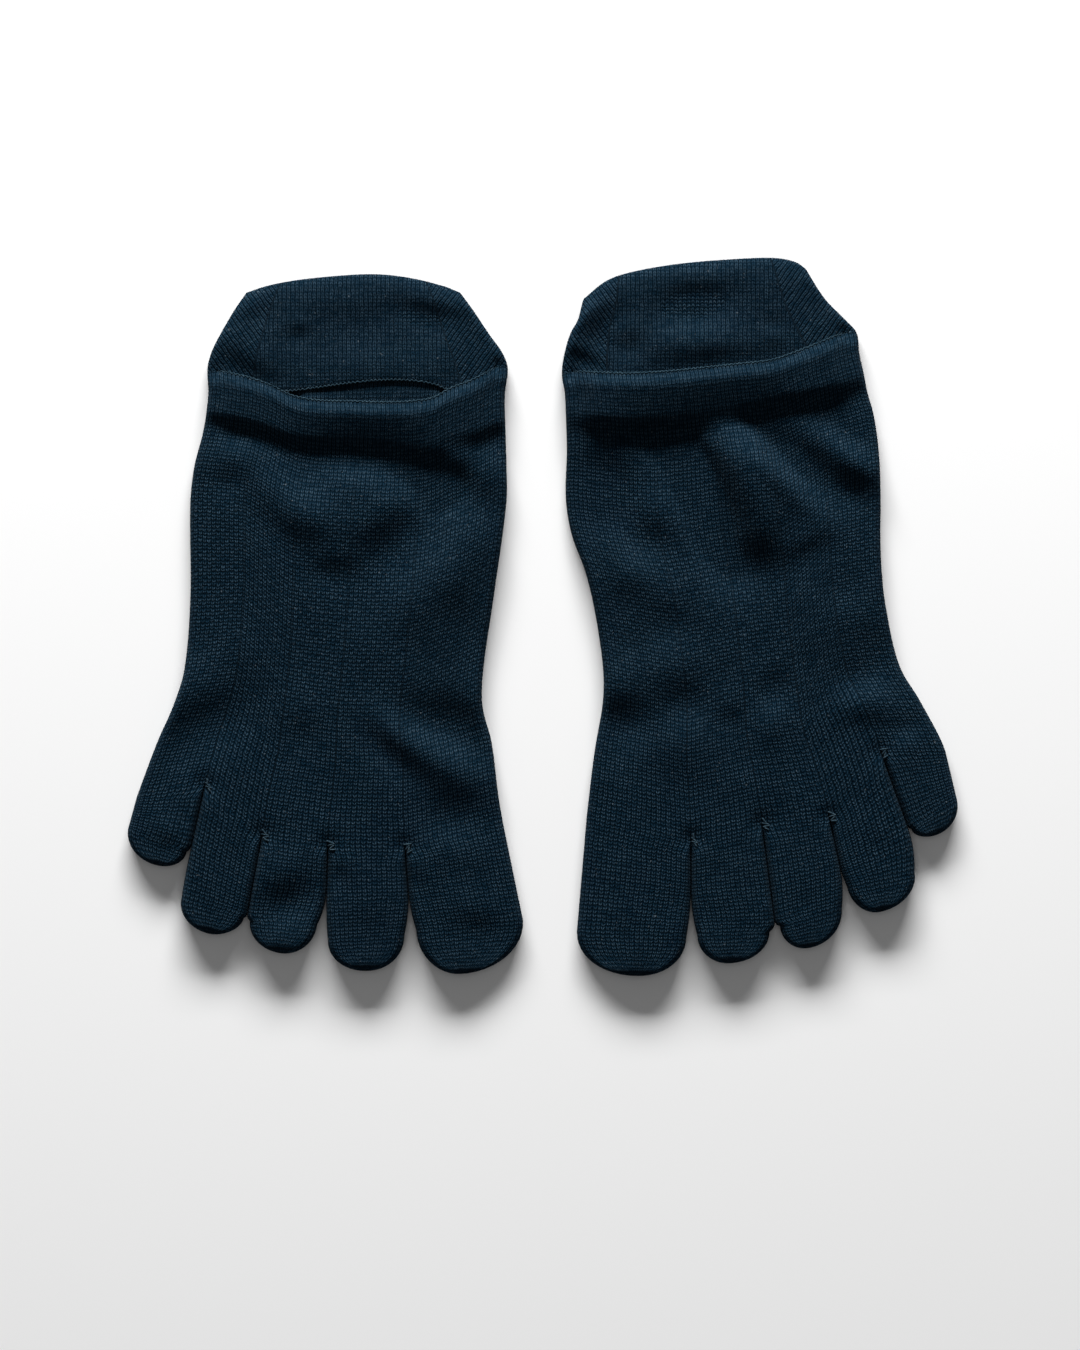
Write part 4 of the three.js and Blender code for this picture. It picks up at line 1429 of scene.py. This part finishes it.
@dataclass(frozen=True)
class ThreadFinish:
    """Twisted yarn, as in the rim's loops and the stitches at the webs. Its depth is in millimetres."""

    name: str
    colour: tuple[float, float, float]
    light: tuple[float, float, float]
    grain: Grain = Grain(2400, 3)
    shades: Range = Range(0.4, 0.75)
    depth: float = 0.12
    rough: float = 0.9
    gloss: float = 0.03
    sheen: float = 0.03

    def build(self) -> bpy.types.Material:
        """The finish as nodes: fine noise lightens the yarn and roughens it."""
        tree = Tree(self.name)
        grain = tree.noise(tree.place(), self.grain.scale, self.grain.detail)
        colour = tree.blend(tree.ramp(grain, *self.shades), (*self.colour, 1), (*self.light, 1))
        tree.feed(tree.shader.inputs["Base Color"], colour)
        tree.relief(grain, self.depth)
        tree.set(Roughness=self.rough, Specular_IOR_Level=self.gloss, Sheen_Weight=self.sheen)
        return tree.material


@dataclass(frozen=True)
class GripFinish:
    """Soft silicone of the dots under the sole: darker than the yarn and a little glossy."""

    name: str = "silicone_grip"
    colour: tuple[float, float, float] = (0.006, 0.011, 0.016)
    lighter: float = 1.8
    grain: Grain = Grain(900, 2)
    rough: Range = Range(0.2, 0.8, 0.36, 0.52)
    depth: float = 0.03

    def build(self) -> bpy.types.Material:
        """The finish as nodes: faint noise varies the gloss and the surface."""
        tree = Tree(self.name)
        grain = tree.noise(tree.place(), self.grain.scale, self.grain.detail)
        light = tuple(value * self.lighter for value in self.colour)
        tree.feed(tree.shader.inputs["Base Color"], tree.blend(grain, (*self.colour, 1), (*light, 1)))
        tree.feed(tree.shader.inputs["Roughness"], tree.ramp(grain, *self.rough))
        tree.relief(grain, self.depth)
        return tree.material


@dataclass
class RimLoops:
    """The row of loops in which the knit ends at a rim, one for each wale.

    The thread starts some wales in from a corner, stands out from the rim away from the
    corners, and lies a little above it between the loops.
    """

    sock: Sock
    samples: int = 8
    reach: float = 0.4
    radius: float = 0.22
    sides: int = 6
    start: float = 0.6
    stand: float = 0.25
    above: float = 0.05
    dip: float = 0.3

    def build(self) -> list[bpy.types.Object]:
        """One thread along each rim.

        The thread swings out over the edge once a wale, by the size of a sine, and climbs
        on the cloth between the loops.

        Returns:
            The threads of the front and the back rim.
        """
        made = []
        form = self.sock.form
        for label, rim, towards in zip(("front", "back"), self.sock.rims(), (1, -1)):
            wales = (len(rim) - 1) / self.sock.columns_per_wale
            at = np.linspace(self.start, wales - self.start, int(wales * self.samples))
            known = np.arange(len(rim)) / self.sock.columns_per_wale
            path = np.stack([np.interp(at, known, rim[:, axis]) for axis in range(3)], -1)
            swing = np.abs(np.sin(np.pi * at))
            calm = self.sock.corner_share(path[:, :2])
            path[:, 1] += towards * self.reach * swing + towards * self.stand * calm
            path[:, 2] += self.above - self.dip * swing
            made.append(tubes(f"{form.name}_{label}_loops", path[None], self.radius, self.sides,
                              form.centre_x))
        return made


@dataclass
class WebStitches:
    """Short stitches that close the knit across each toe web.

    The first lies a little to the right of the crease's top. Each next one is shifted,
    shorter and turned another way, and each web's heap is turned on by the fan.
    """

    sock: Sock
    turns: tuple[float, ...] = (-38.0, 4.0, 30.0, -12.0)
    fan: float = 31.0
    first: tuple[float, float] = (0.75, 0.9)
    shift: tuple[float, float] = (0.2, -0.75)
    shorter: float = 0.1
    reach: float = 1.25
    radius: float = 0.24
    sides: int = 6
    points: int = 9
    above: float = 0.1
    arch: float = 0.3
    sag: float = 0.5

    def build(self) -> bpy.types.Object:
        """All the stitches of one sock as one mesh. Each is an arch, highest in its middle."""
        paths = []
        form = self.sock.form
        swing = np.linspace(-1, 1, self.points)
        for number, web in enumerate(form.webs):
            for step, turn in enumerate(self.turns):
                angle = math.radians(turn + self.fan * (number - (len(form.webs) - 1) / 2))
                middle = np.array([web.x, web.y]) + self.first + np.array(self.shift) * step
                run = np.array([math.cos(angle), math.sin(angle)])
                run = run * self.reach * (1 - self.shorter * step)
                plan = middle + run * swing[:, None]
                high = self.sock.instep_top(plan, np.full(len(swing), 0.5))
                high = np.maximum(high, high.max() - self.sag) + self.above + self.arch * (1 - swing**2)
                paths.append(np.column_stack([plan, high]))
        name = f"{form.name}_web_stitches"
        return tubes(name, np.array(paths), self.radius, self.sides, form.centre_x)


@dataclass
class Grips:
    """Plain silicone dots under the sole, in staggered rows, that lift the cloth off the floor.

    A dome is a lid, rings of points and a tip. The rings' radii are shares of the dot's,
    and their places are shares of its height below the cloth.
    """

    sock: Sock
    spacing: float = 6.6
    row_step: float = 0.866
    radius: float = 1.55
    margin: float = 6.5
    sides: int = 12
    along: tuple[float, float] = (-58.0, 102.0)
    across: tuple[float, float] = (-60.0, 60.0)
    toe_start: float = 7.5
    toe_end: float = 2.0
    lifted: float = 0.1
    rings: tuple[float, ...] = (1.0, 0.86, 0.5)
    drops: tuple[float, ...] = (-0.25, 0.5, 0.93)

    def centres(self) -> np.ndarray:
        """Where the dots lie: a staggered net over the heel and the ball, and a row on each toe."""
        form = self.sock.form
        rows = np.arange(*self.along, self.spacing * self.row_step)
        across = np.arange(*self.across, self.spacing)
        x = across[None, :] + (np.arange(len(rows)) % 2)[:, None] * self.spacing / 2
        y = np.broadcast_to(rows[:, None], x.shape)
        left = follow(form.edges, "y", "left", y) + self.margin
        right = follow(form.edges, "y", "right", y) - self.margin
        top = min(form.heel_left, form.heel_right) - self.margin
        lowest = np.interp(x, [web.x for web in form.webs], [web.y for web in form.webs]) + self.margin
        keep = (x > left) & (x < right) & (y < top) & (y > lowest)
        net = np.stack([x[keep], y[keep]], -1)
        net = net[self.sock.mouth_lift(net) < self.lifted]
        pads = []
        for index, row in enumerate(form.toes):
            toe = Toe(form, index, 0.0)
            middle = (toe.roots[0] + toe.roots[1]) / 2
            tip = np.array([row.tip_x, row.tip_y])
            length = np.linalg.norm(tip - middle)
            for back in np.arange(self.toe_start, length - self.toe_end, self.spacing * self.row_step):
                pads.append(tip - toe.forward * back)
        return np.concatenate([net, np.array(pads)])

    def build(self) -> bpy.types.Object:
        """All dots of one sock as one mesh: low domes, whose rings narrow towards the floor."""
        form = self.sock.form
        centres = self.centres()
        rings = np.array(self.rings)
        drop = CLOTH.grip * np.array(self.drops)
        angles = np.arange(self.sides) * 2 * np.pi / self.sides
        circle = np.stack([np.cos(angles), np.sin(angles)], -1)
        plan = centres[:, None, None] + self.radius * rings[:, None, None] * circle
        high = np.broadcast_to(CLOTH.grip - drop[:, None], plan.shape[:-1])
        domes = np.concatenate([plan, high[..., None]], -1).reshape(len(centres), -1, 3)
        tips = np.column_stack([centres, np.zeros(len(centres))])[:, None]
        points = np.concatenate([domes, tips], 1)
        count = points.shape[1]
        ring = np.arange(self.sides)
        after = np.roll(ring, -1)
        quads = np.concatenate([
            np.stack([ring + self.sides * level, ring + self.sides * (level + 1),
                      after + self.sides * (level + 1), after + self.sides * level], -1)
            for level in range(len(rings) - 1)
        ])
        last = self.sides * (len(rings) - 1)
        fans = np.stack([ring + last, np.full(self.sides, count - 1), after + last], -1)
        starts = np.arange(len(centres))[:, None, None] * count
        sides = (quads[None] + starts).reshape(-1, 4).tolist()
        ends = (fans[None] + starts).reshape(-1, 3).tolist()
        lids = (ring[None] + starts[:, 0]).tolist()
        place = (points.reshape(-1, 3) + np.array([form.centre_x, 0, 0])) * MM
        return linked(f"{form.name}_grips", place, sides + ends + lids)


class Lamp(NamedTuple):
    """An area light: its place and size in metres, and its power in watts."""

    name: str
    place: tuple[float, float, float]
    wide: float
    deep: float
    power: float


@dataclass
class Studio:
    """A pale floor, soft light from the picture's top, and a camera straight above.

    The picture's centre is given from the pair's, in millimetres. The camera takes in the
    picture's width at the middle height of the cloth.
    """

    lens: float = 180.0
    sensor: float = 36.0
    centre_x: float = -0.75
    centre_y: float = -17.5
    middle_height: float = 3.0
    floor_half: float = 3.0
    card: float = 0.86
    card_rough: float = 0.95
    card_gloss: float = 0.1
    sky: float = 0.1
    lamps: tuple[Lamp, ...] = (
        Lamp("key", (-0.112, 1.86, 0.64), 1.68, 0.44, 124.0),
        Lamp("overhead", (0.0, -0.1, 1.9), 1.6, 1.6, 3.5),
    )

    def build(self) -> None:
        """Makes the floor, the lights, the world and the camera."""
        self.floor()
        for lamp in self.lamps:
            self.light(lamp)
        world = bpy.data.worlds.new("studio")
        world.use_nodes = True
        background = world.node_tree.nodes["Background"]
        background.inputs["Color"].default_value = (1, 1, 1, 1)
        background.inputs["Strength"].default_value = self.sky
        bpy.context.scene.world = world
        bpy.context.scene.view_settings.view_transform = "Standard"
        self.camera()

    def floor(self) -> None:
        """A wide pale plane at height zero, of even matt card."""
        half = self.floor_half
        corners = [(-half, -half, 0), (half, -half, 0), (half, half, 0), (-half, half, 0)]
        plane = linked("studio_floor", corners, [(0, 1, 2, 3)], smooth=False)
        tree = Tree("pale_card")
        tree.set(Base_Color=(self.card, self.card, self.card, 1), Roughness=self.card_rough,
                 Specular_IOR_Level=self.card_gloss)
        plane.data.materials.append(tree.material)

    def light(self, lamp: Lamp) -> None:
        """An area light that faces the pair's middle."""
        data = bpy.data.lights.new(lamp.name, "AREA")
        data.shape = "RECTANGLE"
        data.size, data.size_y, data.energy = lamp.wide, lamp.deep, lamp.power
        piece = bpy.data.objects.new(lamp.name, data)
        piece.location = lamp.place
        piece.rotation_euler = Vector(lamp.place).to_track_quat("Z", "Y").to_euler()
        bpy.context.scene.collection.objects.link(piece)

    def camera(self) -> None:
        """Looks straight down from where the lens takes in the picture's width."""
        data = bpy.data.cameras.new("camera")
        data.lens, data.sensor_width, data.sensor_fit = self.lens, self.sensor, "HORIZONTAL"
        distance = FRAME_WIDTH * MM * self.lens / self.sensor
        piece = bpy.data.objects.new("camera", data)
        piece.location = (self.centre_x * MM, self.centre_y * MM, distance + self.middle_height * MM)
        bpy.context.scene.collection.objects.link(piece)
        bpy.context.scene.camera = piece


def half_surface(piece: bpy.types.Object) -> float:
    """Half the mesh's surface, which is the area of its cloth laid out flat."""
    areas = np.zeros(len(piece.data.polygons))
    piece.data.polygons.foreach_get("area", areas)
    return float(areas.sum() / 2)


def dress(form: SockForm, knit: bpy.types.Material, rim: bpy.types.Material, seam: bpy.types.Material,
          silicone: bpy.types.Material) -> None:
    """Builds one sock and its small pieces, and ties them to the frame.

    Args:
        form: the sock's sizes.
        knit: the cloth's finish.
        rim: the finish of the loops at the rims.
        seam: the finish of the stitches at the webs.
        silicone: the finish of the grips.
    """
    sock = Sock(form)
    cloth = sock.shell()
    loops = RimLoops(sock).build()
    stitches = WebStitches(sock).build()
    grips = Grips(sock).build()
    finishes = [(cloth, knit), *((loop, rim) for loop in loops), (stitches, seam), (grips, silicone)]
    for piece, finish in finishes:
        piece.data.materials.append(finish)
        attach(piece, "root")
        log.info("%s: %d faces", piece.name, len(piece.data.polygons))
    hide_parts(form.name)
    area = half_surface(cloth)
    width, length = sock.cut()
    log.info("%s: cloth of %.4f m2, cut %.3f by %.3f m", form.name, area, width, length)


def main() -> None:
    """Builds both socks and the studio."""
    knit = KnitFinish().build()
    # the rim yarn is paler than the knit: partly its own tone, partly a painted highlight along the lit
    # rim
    rim = ThreadFinish("rim_yarn", (0.006, 0.018, 0.028), (0.034, 0.062, 0.082)).build()
    seam = ThreadFinish("web_yarn", (0.010, 0.024, 0.036), (0.045, 0.075, 0.095)).build()
    silicone = GripFinish().build()
    for form in (LEFT, RIGHT):
        dress(form, knit, rim, seam, silicone)
    Studio().build()


if __name__ == "__main__":
    logging.basicConfig(level=logging.INFO, format="%(name)s: %(message)s")
    main()
